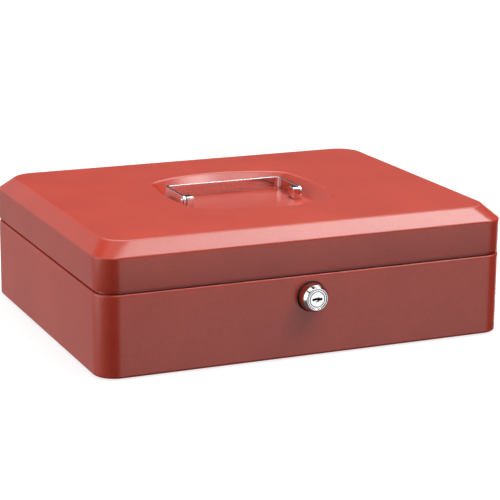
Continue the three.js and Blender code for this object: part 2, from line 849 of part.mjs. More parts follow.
// Spring clip: a plate with a slot that is pushed up over the flats of the barrel.
function lockClip() {
  const half = barrelFlat - clipGrooveDepth + runGap;
  const from = clipFront - overreach;
  const to = clipFront + clipThickness + overreach;
  const plate = rod(clipRadius, clipFront, clipFront + clipThickness, roundSteps);
  const round = rod(barrelRadius + fitGap, from, to, roundSteps);
  const flats = block([-half, from, -clipRadius], [half, to, clipRadius]);
  const slot = block([-half, from, -clipRadius - overreach], [half, to, 0]);
  return cut(plate, keep(round, flats), slot);
}

function waferFront(index) {
  return plugFace + plugFaceLength + firstWaferDepth + index * waferPitch;
}

function lockPlug() {
  const body = turned([
    [0, plugFace],
    [plugFaceRadius - runGap, plugFace],
    [plugFaceRadius, plugFace + runGap],
    [plugFaceRadius, plugFace + plugFaceLength],
    [plugRadius, plugFace + plugFaceLength],
    [plugRadius, plugEnd],
    [0, plugEnd],
  ], roundSteps);
  const half = tailSide / 2;
  const tail = block([-half, plugEnd - overreach, -half], [half, tailEnd, half]);
  const keyEnd = waferFront(waferCount) + keywaySpare;
  const keyway = block(
    [-keywayWidth / 2, plugFace - overreach, -keywayHeight / 2],
    [keywayWidth / 2, keyEnd, keywayHeight / 2],
  );
  const eye = rod(keywayEye, plugFace - overreach, plugFace + keywayEyeDepth);
  const slotHalf = waferHeight / 2 + runGap;
  const slotReach = plugRadius + overreach;
  const waferSlots = Array.from({ length: waferCount }, (_, index) => block(
    [-slotReach, waferFront(index) - runGap, -slotHalf],
    [slotReach, waferFront(index) + waferThickness + runGap, slotHalf],
  ));
  const screwDeep = tailEnd - camScrewGrip - fitGap;
  const screwHole = rod(camScrewRadius + fitGap, screwDeep, tailEnd + overreach);
  return cut(join(body, tail), keyway, eye, ...waferSlots, screwHole);
}

// Wafer: a flat plate with round ends and a window that the key passes through.
function wafer(index) {
  const from = waferFront(index);
  const to = from + waferThickness;
  const round = rod(plugRadius - runGap, from, to);
  const half = waferHeight / 2;
  const before = from - overreach;
  const after = to + overreach;
  const band = block([-plugRadius, before, -half], [plugRadius, after, half]);
  const windowX = keywayWidth / 2 + fitGap;
  const windowZ = keywayHeight / 2 + fitGap;
  const window = block([-windowX, before, -windowZ], [windowX, after, windowZ]);
  return cut(keep(round, band), window);
}

// Cam: a hub, an arm that points to the left when unlocked, and a finger that leads its turn.
function lockCam() {
  const shape = new THREE.Shape();
  shape.absarc(0, 0, camFingerOuter, Math.PI, Math.PI - camFingerAngle, true);
  shape.absarc(0, 0, camFingerInner, Math.PI - camFingerAngle, Math.PI, false);
  const finger = frontExtrusion(shape, camFront, camBack, smallRoundSteps);
  const hub = rod(camHubRadius, camFront, camBack, roundSteps);
  const arm = block([-camFingerOuter, camFront, -camHalfWidth], [0, camBack, camHalfWidth]);
  const end = rod(camFingerOuter, camFront - overreach, camBack + overreach, camRoundSteps);
  const half = tailSide / 2 + fitGap;
  const square = block([-half, camFront - overreach, -half], [half, camBack + overreach, half]);
  return cut(join(hub, keep(arm, end), finger), square);
}

function camScrew() {
  return turned([
    [0, tailEnd - camScrewGrip],
    [camScrewRadius, tailEnd - camScrewGrip],
    [camScrewRadius, camScrewFront],
    [camScrewHead, camScrewFront],
    [camScrewHead, camScrewBack],
    [0, camScrewBack],
  ]);
}

const lock = subGroup(0, 0, lockHeight);
addPiece(lock, 'lock_housing', lockHousing(), chrome);
addPiece(lock, 'lock_gasket', lockGasket(), blackPlastic);
addPiece(lock, 'lock_clip', lockClip(), plainSteel);
addPiece(lock, 'lock_plug', lockPlug(), chrome);
for (let index = 0; index < waferCount; index++) {
  addPiece(lock, `lock_wafer_${index + 1}`, wafer(index), brass);
}
addPiece(lock, 'lock_cam', lockCam(), plainSteel);
addPiece(lock, 'cam_screw', camScrew(), plainSteel);

// ---------------------------------------------------------------- coin tray
const trayLength = trayBack - trayFront - 2 * trayRim;
const trayPlan = {
  centreY: (trayFront + trayBack) / 2,
  width: trayHalfWidth * 2,
  length: trayLength,
  radius: cornerRadius - lipInset - sheet,
};
const coinRow = [trayFront + trayRim + trayWall, trayFront + trayRim + trayWall + coinRowLength];
const noteRow = [coinRow[1] + trayWall, trayBack - trayRim - trayWall];
const trayRows = [
  { name: 'coin', span: coinRow, dividers: coinDividers },
  { name: 'note', span: noteRow, dividers: noteDividers },
];

function grownPlan(amount) {
  return {
    centreY: trayPlan.centreY,
    width: trayPlan.width + 2 * amount,
    length: trayPlan.length + 2 * amount,
    radius: trayPlan.radius + amount,
  };
}

// Side view of a trough whose floor curves up at the front and back; grow moves every side out.
function troughShape([front, back], top, grow) {
  const floor = trayBottom + trayWall - grow;
  const radius = trayScoop + grow;
  const from = front - grow;
  const to = back + grow;
  const shape = new THREE.Shape();
  shape.moveTo(from, top);
  shape.lineTo(from, floor + radius);
  shape.absarc(from + radius, floor + radius, radius, Math.PI, Math.PI * 1.5);
  shape.absarc(to - radius, floor + radius, radius, Math.PI * 1.5, Math.PI * 2);
  shape.lineTo(to, top);
  return shape;
}

function trough(span, top, grow, halfWidth) {
  const settings = { depth: halfWidth * 2, bevelEnabled: false, curveSegments: scoopSteps };
  const shape = troughShape(span, top, grow);
  return new THREE.ExtrudeGeometry(shape, settings).applyMatrix4(alongX).translate(-halfWidth, 0, 0);
}

function dividerPlaces(count) {
  const inner = trayHalfWidth - trayWall;
  return Array.from({ length: count }, (_, i) => -inner + 2 * inner * (i + 1) / (count + 1));
}

// Four short ribs hold each divider: a pair on the front wall of its row and a pair on the back.
function guides({ span, dividers }) {
  const bottom = trayBottom + trayWall + trayScoop;
  const near = dividerThickness / 2 + fitGap;
  const far = near + guideWidth;
  return dividerPlaces(dividers).flatMap((x) => sides.flatMap(([, sign]) => {
    const [x0, x1] = [x + sign * near, x + sign * far].sort((a, b) => a - b);
    return [
      block([x0, span[0] - trayWall / 2, bottom], [x1, span[0] + guideDepth, trayTop - dividerDrop]),
      block([x0, span[1] - guideDepth, bottom], [x1, span[1] + trayWall / 2, trayTop - dividerDrop]),
    ];
  }));
}

function coinTray() {
  const inner = trayHalfWidth - trayWall;
  const cups = trayRows.map(({ span }) => trough(span, trayTop, trayWall, trayHalfWidth));
  const outline = roundedBlock(trayPlan, trayBottom - overreach, trayTop + overreach);
  const shell = keep(join(...cups), outline);
  const rim = roundedBlock(grownPlan(trayRim), trayTop - trayRimHeight, trayTop);
  const hollowTop = trayTop + overreach;
  const hollowPlan = roundedBlock(grownPlan(-trayWall), trayBottom, hollowTop);
  const hollows = trayRows.map(({ span }) => keep(trough(span, hollowTop, 0, inner), hollowPlan));
  return join(cut(join(shell, rim), ...hollows), ...trayRows.flatMap(guides));
}

function divider(span) {
  const settings = { depth: dividerThickness, bevelEnabled: false, curveSegments: scoopSteps };
  const shape = troughShape(span, trayTop - dividerDrop, -fitGap);
  const plate = new THREE.ExtrudeGeometry(shape, settings).applyMatrix4(alongX);
  return plate.translate(-dividerThickness / 2, 0, 0);
}

const tray = subGroup(0, 0, 0);
addPiece(tray, 'coin_tray', coinTray(), blackPlastic);
for (const { name, span, dividers } of trayRows) {
  dividerPlaces(dividers).forEach((x, index) => {
    addPiece(tray, `${name}_divider_${index + 1}`, divider(span), blackPlastic).position.x = x;
  });
}

export default assembly;
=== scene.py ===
# %% [markdown]
# # A steel cash box, finished round its CAD frame
# The box is pressed from painted sheet steel: a body, a hinged lid with a sunken well, a folding bail
# handle, a cam lock and a plastic coin tray. The frame already holds every part at its true size and
# place, so this script only makes the surfaces that are seen: soft bends, rounded rims, turned chrome
# and the grain of each finish. A piece could be sculpted or modelled by hand, but a pressed or turned
# part is really a profile carried along a path, so each one is worked out that way, with numpy.

# %% Load the frame
import json
import math

import bmesh
import bpy
import numpy as np
from mathutils import Matrix, Vector

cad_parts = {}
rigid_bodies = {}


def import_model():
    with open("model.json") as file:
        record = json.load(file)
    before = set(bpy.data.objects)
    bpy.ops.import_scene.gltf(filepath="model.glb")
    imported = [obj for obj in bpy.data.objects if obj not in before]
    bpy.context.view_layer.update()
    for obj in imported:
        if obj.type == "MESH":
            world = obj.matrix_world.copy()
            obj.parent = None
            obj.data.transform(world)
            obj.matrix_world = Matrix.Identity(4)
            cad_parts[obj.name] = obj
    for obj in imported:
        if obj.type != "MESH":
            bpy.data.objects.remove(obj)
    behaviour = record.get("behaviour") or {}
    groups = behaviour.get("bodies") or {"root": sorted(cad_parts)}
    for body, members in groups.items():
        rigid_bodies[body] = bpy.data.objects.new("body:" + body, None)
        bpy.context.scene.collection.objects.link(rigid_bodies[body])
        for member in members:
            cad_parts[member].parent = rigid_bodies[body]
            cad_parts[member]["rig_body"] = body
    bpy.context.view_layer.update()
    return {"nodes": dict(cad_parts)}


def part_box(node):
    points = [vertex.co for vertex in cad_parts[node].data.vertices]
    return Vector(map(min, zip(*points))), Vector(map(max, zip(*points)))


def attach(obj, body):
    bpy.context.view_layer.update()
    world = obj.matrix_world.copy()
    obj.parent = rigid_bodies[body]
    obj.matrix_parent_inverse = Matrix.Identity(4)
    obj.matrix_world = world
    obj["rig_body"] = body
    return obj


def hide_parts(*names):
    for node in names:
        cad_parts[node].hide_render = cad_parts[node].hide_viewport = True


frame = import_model()
MM = 0.001

# %% [markdown]
# The maker's drawing is in millimetres, so the work below is too, and one helper turns it into the
# metres that Blender wants. The levels that matter are read from the frame's own parts: the box's
# plan, the lid's edge and top, the lip that the lid closes over and the axes of the lock and handle.

# %% Places taken from the frame
def box_mm(node):
    """A CAD node's lowest and highest corner, in millimetres."""
    low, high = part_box(node)
    return np.array(low) / MM, np.array(high) / MM


body_low, body_high = box_mm("body_shell")
lid_low, lid_high = box_mm("lid_shell")
bail_low, bail_high = box_mm("bail")
lock_low, lock_high = box_mm("lock_housing")
pin_low, pin_high = box_mm("handle_pin_right")
HALF_X = lid_high[0]
HALF_Y = (lid_high[1] - lid_low[1]) / 2
MID_Y = (lid_high[1] + lid_low[1]) / 2
STEEL_LOW, LIP_TOP = body_low[2], body_high[2]
LID_EDGE, LID_TOP = lid_low[2], lid_high[2]
POST_GAP = 0.15
WELL_FLOOR = box_mm("handle_post_right")[0][2] - POST_GAP
PIVOT_Z = (pin_low[2] + pin_high[2]) / 2
LOCK_Z = (lock_low[2] + lock_high[2]) / 2
LOCK_TIP = lock_low[1]
print(f"lid edge {LID_EDGE:.1f}, lid top {LID_TOP:.1f}, well floor {WELL_FLOOR:.1f}, lock {LOCK_Z:.1f} mm")

# %% [markdown]
# ## From arrays to meshes
# A grid of points, rows by columns, becomes four-sided faces between neighbours. It can close on
# itself either way, which makes bands, tubes and rings, and its open ends are closed by one flat
# face each. Working on whole arrays keeps the shape's formula in view, where a loop over vertices
# would hide it.

# %% Grids and meshes
def grid_faces(rows, columns, close_rows=False, close_columns=True):
    """Corner numbers of the faces between neighbours in a grid that is numbered row by row."""
    row = np.arange(rows if close_rows else rows - 1)[:, None]
    column = np.arange(columns if close_columns else columns - 1)[None, :]
    below, right = (row + 1) % rows, (column + 1) % columns
    corners = [
        row * columns + column,
        below * columns + column,
        below * columns + right,
        row * columns + right,
    ]
    return np.stack(np.broadcast_arrays(*corners), -1).reshape(-1, 4)


def fan_volume(points, faces):
    """Six times the volume that faces enclose: the sum of a . (b x c) over the triangles of each."""
    corners = points[faces]
    second, third = corners[:, 1:-1], corners[:, 2:]
    first = np.broadcast_to(corners[:, :1], second.shape)
    return float(np.einsum("nij,nij->", first, np.cross(second, third)))


def closed_mesh(name, grid, close_rows=False):
    """A piece from a grid of points in millimetres, (rows, columns, 3), whose columns go all round.
    Unless its rows close too, the first and last row are each closed by one face. If the volume
    comes out negative the faces point inwards, so every one is turned over."""
    rows, columns = grid.shape[:2]
    points = grid.reshape(-1, 3) * MM
    faces = grid_faces(rows, columns, close_rows)
    last_row = np.arange((rows - 1) * columns, rows * columns)
    ends = [] if close_rows else [np.arange(columns), last_row[::-1]]
    volume = fan_volume(points, faces) + sum(fan_volume(points, end[None]) for end in ends)
    outward = -1 if volume < 0 else 1
    mesh = bpy.data.meshes.new(name)
    mesh.from_pydata(points.tolist(), [], [face[::outward].tolist() for face in [*faces, *ends]])
    piece = bpy.data.objects.new(name, mesh)
    bpy.context.scene.collection.objects.link(piece)
    return piece


# %% Cutting and joining
def combine(piece, tool, operation):
    """Cuts or joins with Blender's exact Boolean, keeps the result and removes the tool."""
    step = piece.modifiers.new(operation.lower(), "BOOLEAN")
    step.operation = operation
    step.solver = "EXACT"
    step.object = tool
    depsgraph = bpy.context.evaluated_depsgraph_get()
    result = bpy.data.meshes.new_from_object(piece.evaluated_get(depsgraph))
    piece.modifiers.clear()
    piece.data = result
    bpy.data.objects.remove(tool, do_unlink=True)
    return piece


def cuboid(low, high):
    """A plain block between two corners in millimetres, used only as a cutting tool."""
    low, high = np.array(low, float), np.array(high, float)
    x, y = np.array([0, 1, 1, 0]), np.array([0, 0, 1, 1])
    plan = np.stack([low[0] + x * (high[0] - low[0]), low[1] + y * (high[1] - low[1])], -1)
    level = [np.column_stack([plan, np.full(4, z)]) for z in (low[2], high[2])]
    return closed_mesh("tool", np.stack(level))


# %% [markdown]
# ## Outlines, bends and profiles
# Three kinds of line are enough for every part. An outline is a closed loop seen from one side, with
# its outward direction at each point. A bend line is a sheet's section, or a turned part's profile,
# whose corners are rounded by arcs. A loop of rims turns any outline into a plate with soft edges.

# %% Outlines
def box_quadrant(half_x, half_y, radius, side, corner, end):
    """A rounded rectangle from the middle of its right side to the middle of its far side: columns
    x, y and the outward direction. The corner is a quarter circle centred one radius inside."""
    centre_x, centre_y = half_x - radius, half_y - radius
    angle = np.linspace(0, math.pi / 2, corner + 1)
    along_side = np.linspace(0, centre_y, side, endpoint=False)
    along_end = np.linspace(centre_x, 0, end + 1)[1:]
    x = [np.full(side, half_x), centre_x + radius * np.cos(angle), along_end]
    y = [along_side, centre_y + radius * np.sin(angle), np.full(end, half_y)]
    outward_x = [np.ones(side), np.cos(angle), np.zeros(end)]
    outward_y = [np.zeros(side), np.sin(angle), np.ones(end)]
    return np.column_stack([np.concatenate(part) for part in (x, y, outward_x, outward_y)])


def all_round(quadrant):
    """One quadrant mirrored into the other three, with no point doubled where they meet."""
    back = quadrant[::-1]
    turns = [quadrant, back * (-1, 1, -1, 1), quadrant * -1, back * (1, -1, 1, -1)]
    return np.concatenate([turn[:-1] for turn in turns])


def circle(radius, steps):
    """Equal steps round a circle, each pointing away from its middle."""
    angle = np.arange(steps) / steps * math.tau
    return np.column_stack([radius * np.cos(angle), radius * np.sin(angle), np.cos(angle), np.sin(angle)])


def from_points(points):
    """An outline through points listed anticlockwise. The outward direction at each is the tangent
    between its neighbours, turned a quarter to the right."""
    along = np.roll(points, -1, 0) - np.roll(points, 1, 0)
    along /= np.linalg.norm(along, axis=1, keepdims=True)
    return np.column_stack([points, along[:, 1], -along[:, 0]])


# %% Bent lines
BEND_STEPS = 8


def bend_line(corners, steps=BEND_STEPS):
    """A line through corners (u, v, radius), each rounded by an arc that touches both legs, one
    tangent length, radius x tan(turn / 2), from the corner."""
    corners = np.array(corners, float)
    parts = [corners[:1, :2]]
    for before, here, after in zip(corners[:-2], corners[1:-1], corners[2:]):
        arrive, leave = here[:2] - before[:2], after[:2] - here[:2]
        arrive, leave = arrive / np.hypot(*arrive), leave / np.hypot(*leave)
        turn = math.atan2(arrive[0] * leave[1] - arrive[1] * leave[0], arrive @ leave)
        inward = math.copysign(1, turn) * np.array([-arrive[1], arrive[0]])
        centre = here[:2] - here[2] * math.tan(abs(turn) / 2) * arrive + here[2] * inward
        angle = math.atan2(-inward[1], -inward[0]) + turn * np.linspace(0, 1, steps + 1 if here[2] else 1)
        parts.append(centre + here[2] * np.column_stack([np.cos(angle), np.sin(angle)]))
    return np.concatenate([*parts, corners[-1:, :2]])


def sheet_other_side(corners, thickness):
    """The same corners on the sheet's other face: each moves thickness / cos(turn / 2) along the
    middle direction, to the right of the line, and its bend tightens or widens by the thickness."""
    corners = np.array(corners, float)
    legs = np.diff(corners[:, :2], axis=0)
    heading = np.arctan2(legs[:, 1], legs[:, 0])
    arrive, leave = np.append(heading[0], heading), np.append(heading, heading[-1])
    turn = np.arctan2(np.sin(leave - arrive), np.cos(leave - arrive))
    middle, shift = arrive + turn / 2 - math.pi / 2, thickness / np.cos(turn / 2)
    moved = corners[:, :2] + shift[:, None] * np.column_stack([np.cos(middle), np.sin(middle)])
    return np.column_stack([moved, np.maximum(corners[:, 2] + np.sign(turn) * thickness, 0)])


def rolled_edge(outer, inner, steps=5):
    """Half a circle from one face of the sheet to the other, bulging past the sheared edge by no
    more than the edge itself: its ends are half a thickness back from both corners."""
    (outer, after), (inner, _) = outer, inner
    back = (after - outer) / np.hypot(*(after - outer))
    across, middle = (inner - outer) / 2, (outer + inner) / 2
    angle = np.linspace(0, math.pi, steps + 2)[:, None]
    return middle + back * np.hypot(*across) * (1 - np.sin(angle)) - across * np.cos(angle)


# %% Plates and turned parts
def facing(points, axis):
    """A shape drawn in a plane and raised along w, laid so that w runs along the given axis."""
    order = {"X": [2, 0, 1], "Y": [0, 2, 1], "Z": [0, 1, 2]}[axis]
    return points[..., order]


def plate(outline, low, high, rim, steps=3):
    """A flat body with rounded rims. Ring a is drawn in by rim x (1 - sin a) and lies
    rim x (1 - cos a) from its face, a running from nothing to a quarter turn at both faces."""
    a = np.linspace(0, math.pi / 2, steps + 1)
    inset = rim * (1 - np.sin(a))
    depth = rim * (1 - np.cos(a))
    inset = np.concatenate([inset, inset[::-1]])[:, None]
    level = np.concatenate([low + depth, (high - depth)[::-1]])[:, None]
    x = outline[:, 0] - inset * outline[:, 2]
    y = outline[:, 1] - inset * outline[:, 3]
    return np.stack([x, y, np.broadcast_to(level, x.shape)], -1)


def turned(profile, steps):
    """A profile (radius, along) swept once round the axis, in equal steps."""
    angle = np.arange(steps) / steps * math.tau
    radius, along = profile[:, :1], profile[:, 1:]
    return np.stack([radius * np.cos(angle), radius * np.sin(angle), along + 0 * angle], -1)


def swept(loop, section):
    """A sheet's section carried round a loop: plan place = loop - outward direction x inset."""
    inset, height = section[:, :1], section[:, 1:]
    x = loop[:, 0] - inset * loop[:, 2]
    y = loop[:, 1] - inset * loop[:, 3] + MID_Y
    return np.stack([x, y, height + 0 * x], -1)


# %% [markdown]
# ## The studio
# The box stands on a plain white sweep. The camera is a long lens from slightly above the front left,
# so the sides hardly converge. A softbox could be a lamp object, but what matters on gloss paint and
# chrome is what they mirror, so the studio is painted on the world instead: a few soft patches of
# light in named directions, over a dark grey room. The floor only catches the shadow and gives no light
# back, which keeps the reflections in the steel the studio's own.

# %% Camera
LENS = 137.2
SENSOR = 36.0
AZIMUTH, ELEVATION, ROLL = math.radians(-23.43), math.radians(14.45), math.radians(0.39)
DISTANCE = 1.3856
AIM_RIGHT, AIM_DROP = 0.0068, 0.0002
AIM = Vector((AIM_RIGHT, MID_Y * MM, LID_TOP * MM / 2 - AIM_DROP))

camera = bpy.data.objects.new("camera", bpy.data.cameras.new("camera"))
bpy.context.scene.collection.objects.link(camera)
bpy.context.scene.camera = camera
camera.data.lens = LENS
camera.data.sensor_width = SENSOR
back = Vector((
    math.sin(AZIMUTH) * math.cos(ELEVATION),
    -math.cos(AZIMUTH) * math.cos(ELEVATION),
    math.sin(ELEVATION),
))
level_right = Vector((math.cos(AZIMUTH), math.sin(AZIMUTH), 0))
level_up = back.cross(level_right)
right = level_right * math.cos(ROLL) + level_up * math.sin(ROLL)
up = level_up * math.cos(ROLL) - level_right * math.sin(ROLL)
turn = Matrix((right, up, back)).transposed().to_4x4()
camera.matrix_world = Matrix.Translation(AIM + back * DISTANCE) @ turn
bpy.context.scene.view_settings.view_transform = "Standard"
print("camera at", [round(x, 3) for x in camera.matrix_world.translation])


# %% [markdown]
# ## Writing shaders as sums
# A finish is arithmetic on noise: so much roughness, plus a little where the paint is thin. One small
# class wraps a node's output so that + and * on it add Math nodes, which reads like the sum it is.
# Colours and vectors never go through Math, because that turns them grey.

# %% Shader sums
class Signal:
    """A number that varies over a surface. Arithmetic on it adds a Math node and gives a Signal."""

    def __init__(self, tree, socket):
        self.tree, self.socket = tree, socket

    def combined(self, operation, first, second):
        """A Math node on two terms, each a Signal or a plain number."""
        return self.tree.node("ShaderNodeMath", {"operation": operation}, {0: first, 1: second})

    def __add__(self, other):
        return self.combined("ADD", self, other)

    def __radd__(self, other):
        return self.combined("ADD", other, self)

    def __mul__(self, other):
        return self.combined("MULTIPLY", self, other)

    def __rmul__(self, other):
        return self.combined("MULTIPLY", other, self)

    def step(self, low, high):
        """0 below low, 1 above high, and a smooth ramp between."""
        settings = {"interpolation_type": "SMOOTHSTEP"}
        inputs = {"Value": self, "From Min": low, "From Max": high}
        return self.tree.node("ShaderNodeMapRange", settings, inputs)


class Tree:
    """A node tree that is written one call a node: type, settings, then values or links by socket."""

    def __init__(self, owner):
        owner.use_nodes = True
        self.nodes, self.links = owner.node_tree.nodes, owner.node_tree.links
        self.nodes.clear()

    def node(self, kind, settings=None, inputs=None, output=0):
        made = self.nodes.new(kind)
        for name, value in (settings or {}).items():
            setattr(made, name, value)
        for name, value in (inputs or {}).items():
            if isinstance(value, Signal):
                self.links.new(value.socket, made.inputs[name])
            else:
                made.inputs[name].default_value = value
        return Signal(self, made.outputs[output])

    def finish(self, kind, surface):
        """The tree's output node."""
        self.links.new(surface.socket, self.nodes.new(kind).inputs["Surface"])

    def colour(self, dark, light, mask):
        """A colour between two, by a mask from 0 to 1."""
        settings = {"data_type": "RGBA"}
        return self.node("ShaderNodeMix", settings, {"Factor": mask, 6: dark, 7: light}, output=2)


# %% Studio light
def toward(x, y, z):
    """A direction of length one."""
    return Vector((x, y, z)).normalized()


ROOM = 0.04
LIGHTS = {
    # name: direction, cosine where it starts, cosine where it is full, brightness
    "key softbox, above right": (toward(0.52, -0.23, 0.82), 0.968, 0.985, 10.6),
    "overhead strip, far left": (toward(-0.42, 0.05, 0.90), 0.95, 0.99, 1.7),
    "overhead strip, left": (toward(-0.05, -0.23, 0.97), 0.985, 0.995, 6.0),
    "overhead strip, middle": (toward(0.15, -0.25, 0.957), 0.985, 0.995, 4.5),
    "overhead strip, front": (toward(0.00, -0.47, 0.88), 0.985, 0.995, 2.0),
    "front softbox, high": (toward(0.20, -0.65, 0.73), 0.85, 0.97, 0.2),
    "front fill": (toward(0.50, -0.80, 0.35), 0.80, 0.98, 0.22),
    "bank above the back": (toward(0.30, 0.50, 0.80), 0.85, 0.98, 2.9),
    "white floor in front": (toward(0.42, -0.87, -0.26), 0.91, 0.985, 1.2),
    "white wall, right and behind": (toward(0.72, 0.64, -0.28), 0.92, 0.985, 6.0),
    "white wall, left and behind": (toward(-0.60, 0.78, -0.10), 0.55, 0.95, 0.38),
    "wall above the back": (toward(-0.25, 0.93, 0.28), 0.88, 0.98, 0.22),
    "left card": (toward(-0.95, -0.25, 0.10), 0.75, 0.97, 0.25),
    "left card, higher": (toward(-0.95, 0.20, 0.25), 0.80, 0.97, 1.95),
    "white floor below": (toward(0.0, 0.0, -1.0), 0.0, 1.0, 0.08),
}
world = bpy.data.worlds.new("studio")
bpy.context.scene.world = world
sky = Tree(world)
heading = sky.node("ShaderNodeTexCoord", output="Generated")
glow = ROOM
dot_product = {"operation": "DOT_PRODUCT"}
for direction, start, full, brightness in LIGHTS.values():
    cosine = sky.node("ShaderNodeVectorMath", dot_product, {0: heading, 1: direction}, "Value")
    glow = cosine.step(start, full) * brightness + glow
WHITE = (1, 1, 1, 1)
seen = sky.node("ShaderNodeLightPath", output="Is Camera Ray")
studio = sky.node("ShaderNodeBackground", inputs={"Color": WHITE, "Strength": glow}, output="Background")
plain = sky.node("ShaderNodeBackground", inputs={"Color": WHITE, "Strength": 1.0}, output="Background")
both = sky.node("ShaderNodeMixShader", inputs={0: seen, 1: studio, 2: plain}, output="Shader")
sky.finish("ShaderNodeOutputWorld", both)
print(f"studio: {len(LIGHTS)} lights over a grey room of {ROOM}")

# %% Floor
FLOOR_HALF = 3.0
FLOOR_GLOW = 0.80
FLOOR_GREY = (0.30, 0.30, 0.30, 1)
floor_corners = np.array([(-1, -1, 0), (1, -1, 0), (1, 1, 0), (-1, 1, 0)]) * FLOOR_HALF
floor_mesh = bpy.data.meshes.new("floor")
floor_mesh.from_pydata(floor_corners.tolist(), [], [(0, 1, 2, 3)])
floor = bpy.data.objects.new("floor", floor_mesh)
bpy.context.scene.collection.objects.link(floor)
floor.visible_glossy = False
floor.visible_diffuse = False
floor.visible_shadow = False
paper = bpy.data.materials.new("white_sweep")
sweep = Tree(paper)
bounce = sweep.node("ShaderNodeBsdfDiffuse", inputs={"Color": FLOOR_GREY})
shine = sweep.node("ShaderNodeEmission", inputs={"Color": WHITE, "Strength": FLOOR_GLOW})
top_side = sweep.node("ShaderNodeAddShader", inputs={0: bounce, 1: shine})
nothing = sweep.node("ShaderNodeBsdfTransparent")
underneath = sweep.node("ShaderNodeNewGeometry", output="Backfacing")
one_sided = sweep.node("ShaderNodeMixShader", inputs={0: underneath, 1: top_side, 2: nothing})
sweep.finish("ShaderNodeOutputMaterial", one_sided)
floor_mesh.materials.append(paper)


# %% [markdown]
# ## Finishes
# Each finish is one function. Patterns read Object coordinates, which every piece shares because all
# of them sit at the origin, so the grain runs on from one part to the next at its true scale.

# %% Starting a finish
def start_finish(name):
    """A fresh material, its tree and its Object coordinates."""
    material = bpy.data.materials.new(name)
    tree = Tree(material)
    return material, tree, tree.node("ShaderNodeTexCoord", output="Object")


def grain(tree, place, per_mm, detail=2.0, roughness=0.5):
    """Cloudy noise from 0 to 1 with so many cells to the millimetre."""
    inputs = {"Vector": place, "Scale": per_mm / MM, "Detail": detail, "Roughness": roughness}
    return tree.node("ShaderNodeTexNoise", inputs=inputs)


def stretched(tree, place, x, y, z):
    """Coordinates squeezed along each axis, which draws noise out into brush marks."""
    return tree.node("ShaderNodeMapping", inputs={"Vector": place, "Scale": (x, y, z)})


def relief(tree, height, distance_mm):
    """A bump whose height signal runs from 0 to 1 over the given depth."""
    inputs = {"Height": height, "Distance": distance_mm * MM, "Strength": 1.0}
    return tree.node("ShaderNodeBump", inputs=inputs)


def dress(material, tree, varying, **steady):
    """Ends a finish: what varies is linked to the shader, and what is steady is set on its sockets."""
    settings = {name.replace("_", " ").title().replace("Ior", "IOR"): value for name, value in steady.items()}
    shader = tree.node("ShaderNodeBsdfPrincipled", inputs={**settings, **varying})
    tree.finish("ShaderNodeOutputMaterial", shader)
    return material


# %% [markdown]
# The red is a powder coat: pigment baked on as dust, so it has a fine orange peel with specks in the
# highlights, and a slight cloudiness where it lies thicker. A flat red would look like plastic. The
# peel is two sizes of noise, used both as relief and as a change of gloss.

# %% Red powder coat
def powder_coat():
    """Two reds mixed by the coat's thickness, with orange peel and specks in gloss and relief."""
    material, tree, place = start_finish("red_powder_coat")
    peel = grain(tree, place, 0.45, 3.0, 0.55)
    specks = grain(tree, place, 2.2, 2.0, 0.6)
    cloud = grain(tree, place, 0.018, 4.0, 0.6)
    thickness = (cloud * 0.6 + peel * 0.4).step(0.3, 0.7)
    colour = tree.colour((0.510, 0.042, 0.021, 1), (0.600, 0.057, 0.028, 1), thickness)
    gloss = 0.26 + 0.08 * peel + 0.06 * specks.step(0.52, 0.72)
    bump = relief(tree, peel * 0.75 + specks * 0.25, 0.028)
    return dress(material, tree, {"Base Color": colour, "Roughness": gloss, "Normal": bump}, ior=1.6)


red = powder_coat()
print("powder coat:", len(red.node_tree.nodes), "nodes")

# %% [markdown]
# Chrome is nearly a mirror. What tells it from a perfect one is faint polishing lines and a little
# waviness from the metal underneath, so both go into the gloss and the relief at very low strength.

# %% Chrome, zinc, brass
def chrome_plate():
    """A bright metal with faint lines drawn out along Y, a haze and a slow waviness."""
    material, tree, place = start_finish("polished_chrome")
    wave = grain(tree, place, 0.25, 2.0)
    lines = grain(tree, stretched(tree, place, 1, 0.12, 1), 6.0, 3.0)
    haze = grain(tree, place, 0.9, 3.0)
    colour = tree.colour((0.70, 0.70, 0.71, 1), (0.90, 0.90, 0.91, 1), haze.step(0.25, 0.75))
    gloss = 0.05 + 0.07 * lines + 0.05 * haze
    bump = relief(tree, wave * 0.8 + lines * 0.2, 0.020)
    return dress(material, tree, {"Base Color": colour, "Roughness": gloss, "Normal": bump}, metallic=1.0)


def zinc_plate():
    """Bright zinc over mild steel: small crystal patches of slightly different tone, dull in places."""
    material, tree, place = start_finish("bright_zinc")
    crystals = {"Vector": place, "Scale": 0.6 / MM}
    patches = tree.node("ShaderNodeTexVoronoi", inputs=crystals, output="Distance")
    smear = grain(tree, place, 0.15, 4.0)
    colour = tree.colour((0.46, 0.47, 0.49, 1), (0.72, 0.73, 0.74, 1), patches * 0.5 + smear * 0.5)
    gloss = 0.24 + 0.22 * smear
    bump = relief(tree, patches * 0.5 + smear * 0.5, 0.015)
    return dress(material, tree, {"Base Color": colour, "Roughness": gloss, "Normal": bump}, metallic=1.0)


def stamped_brass():
    """Thin brass as it comes from the press, with fine drawing marks and a faint brown tarnish."""
    material, tree, place = start_finish("stamped_brass")
    marks = grain(tree, stretched(tree, place, 0.15, 1, 1), 5.0, 2.0)
    tarnish = grain(tree, place, 0.4, 3.0)
    colour = tree.colour((0.46, 0.29, 0.10, 1), (0.80, 0.58, 0.26, 1), tarnish.step(0.3, 0.6))
    gloss = 0.22 + 0.15 * marks
    bump = relief(tree, marks, 0.010)
    return dress(material, tree, {"Base Color": colour, "Roughness": gloss, "Normal": bump}, metallic=1.0)


chrome, zinc, brass = chrome_plate(), zinc_plate(), stamped_brass()

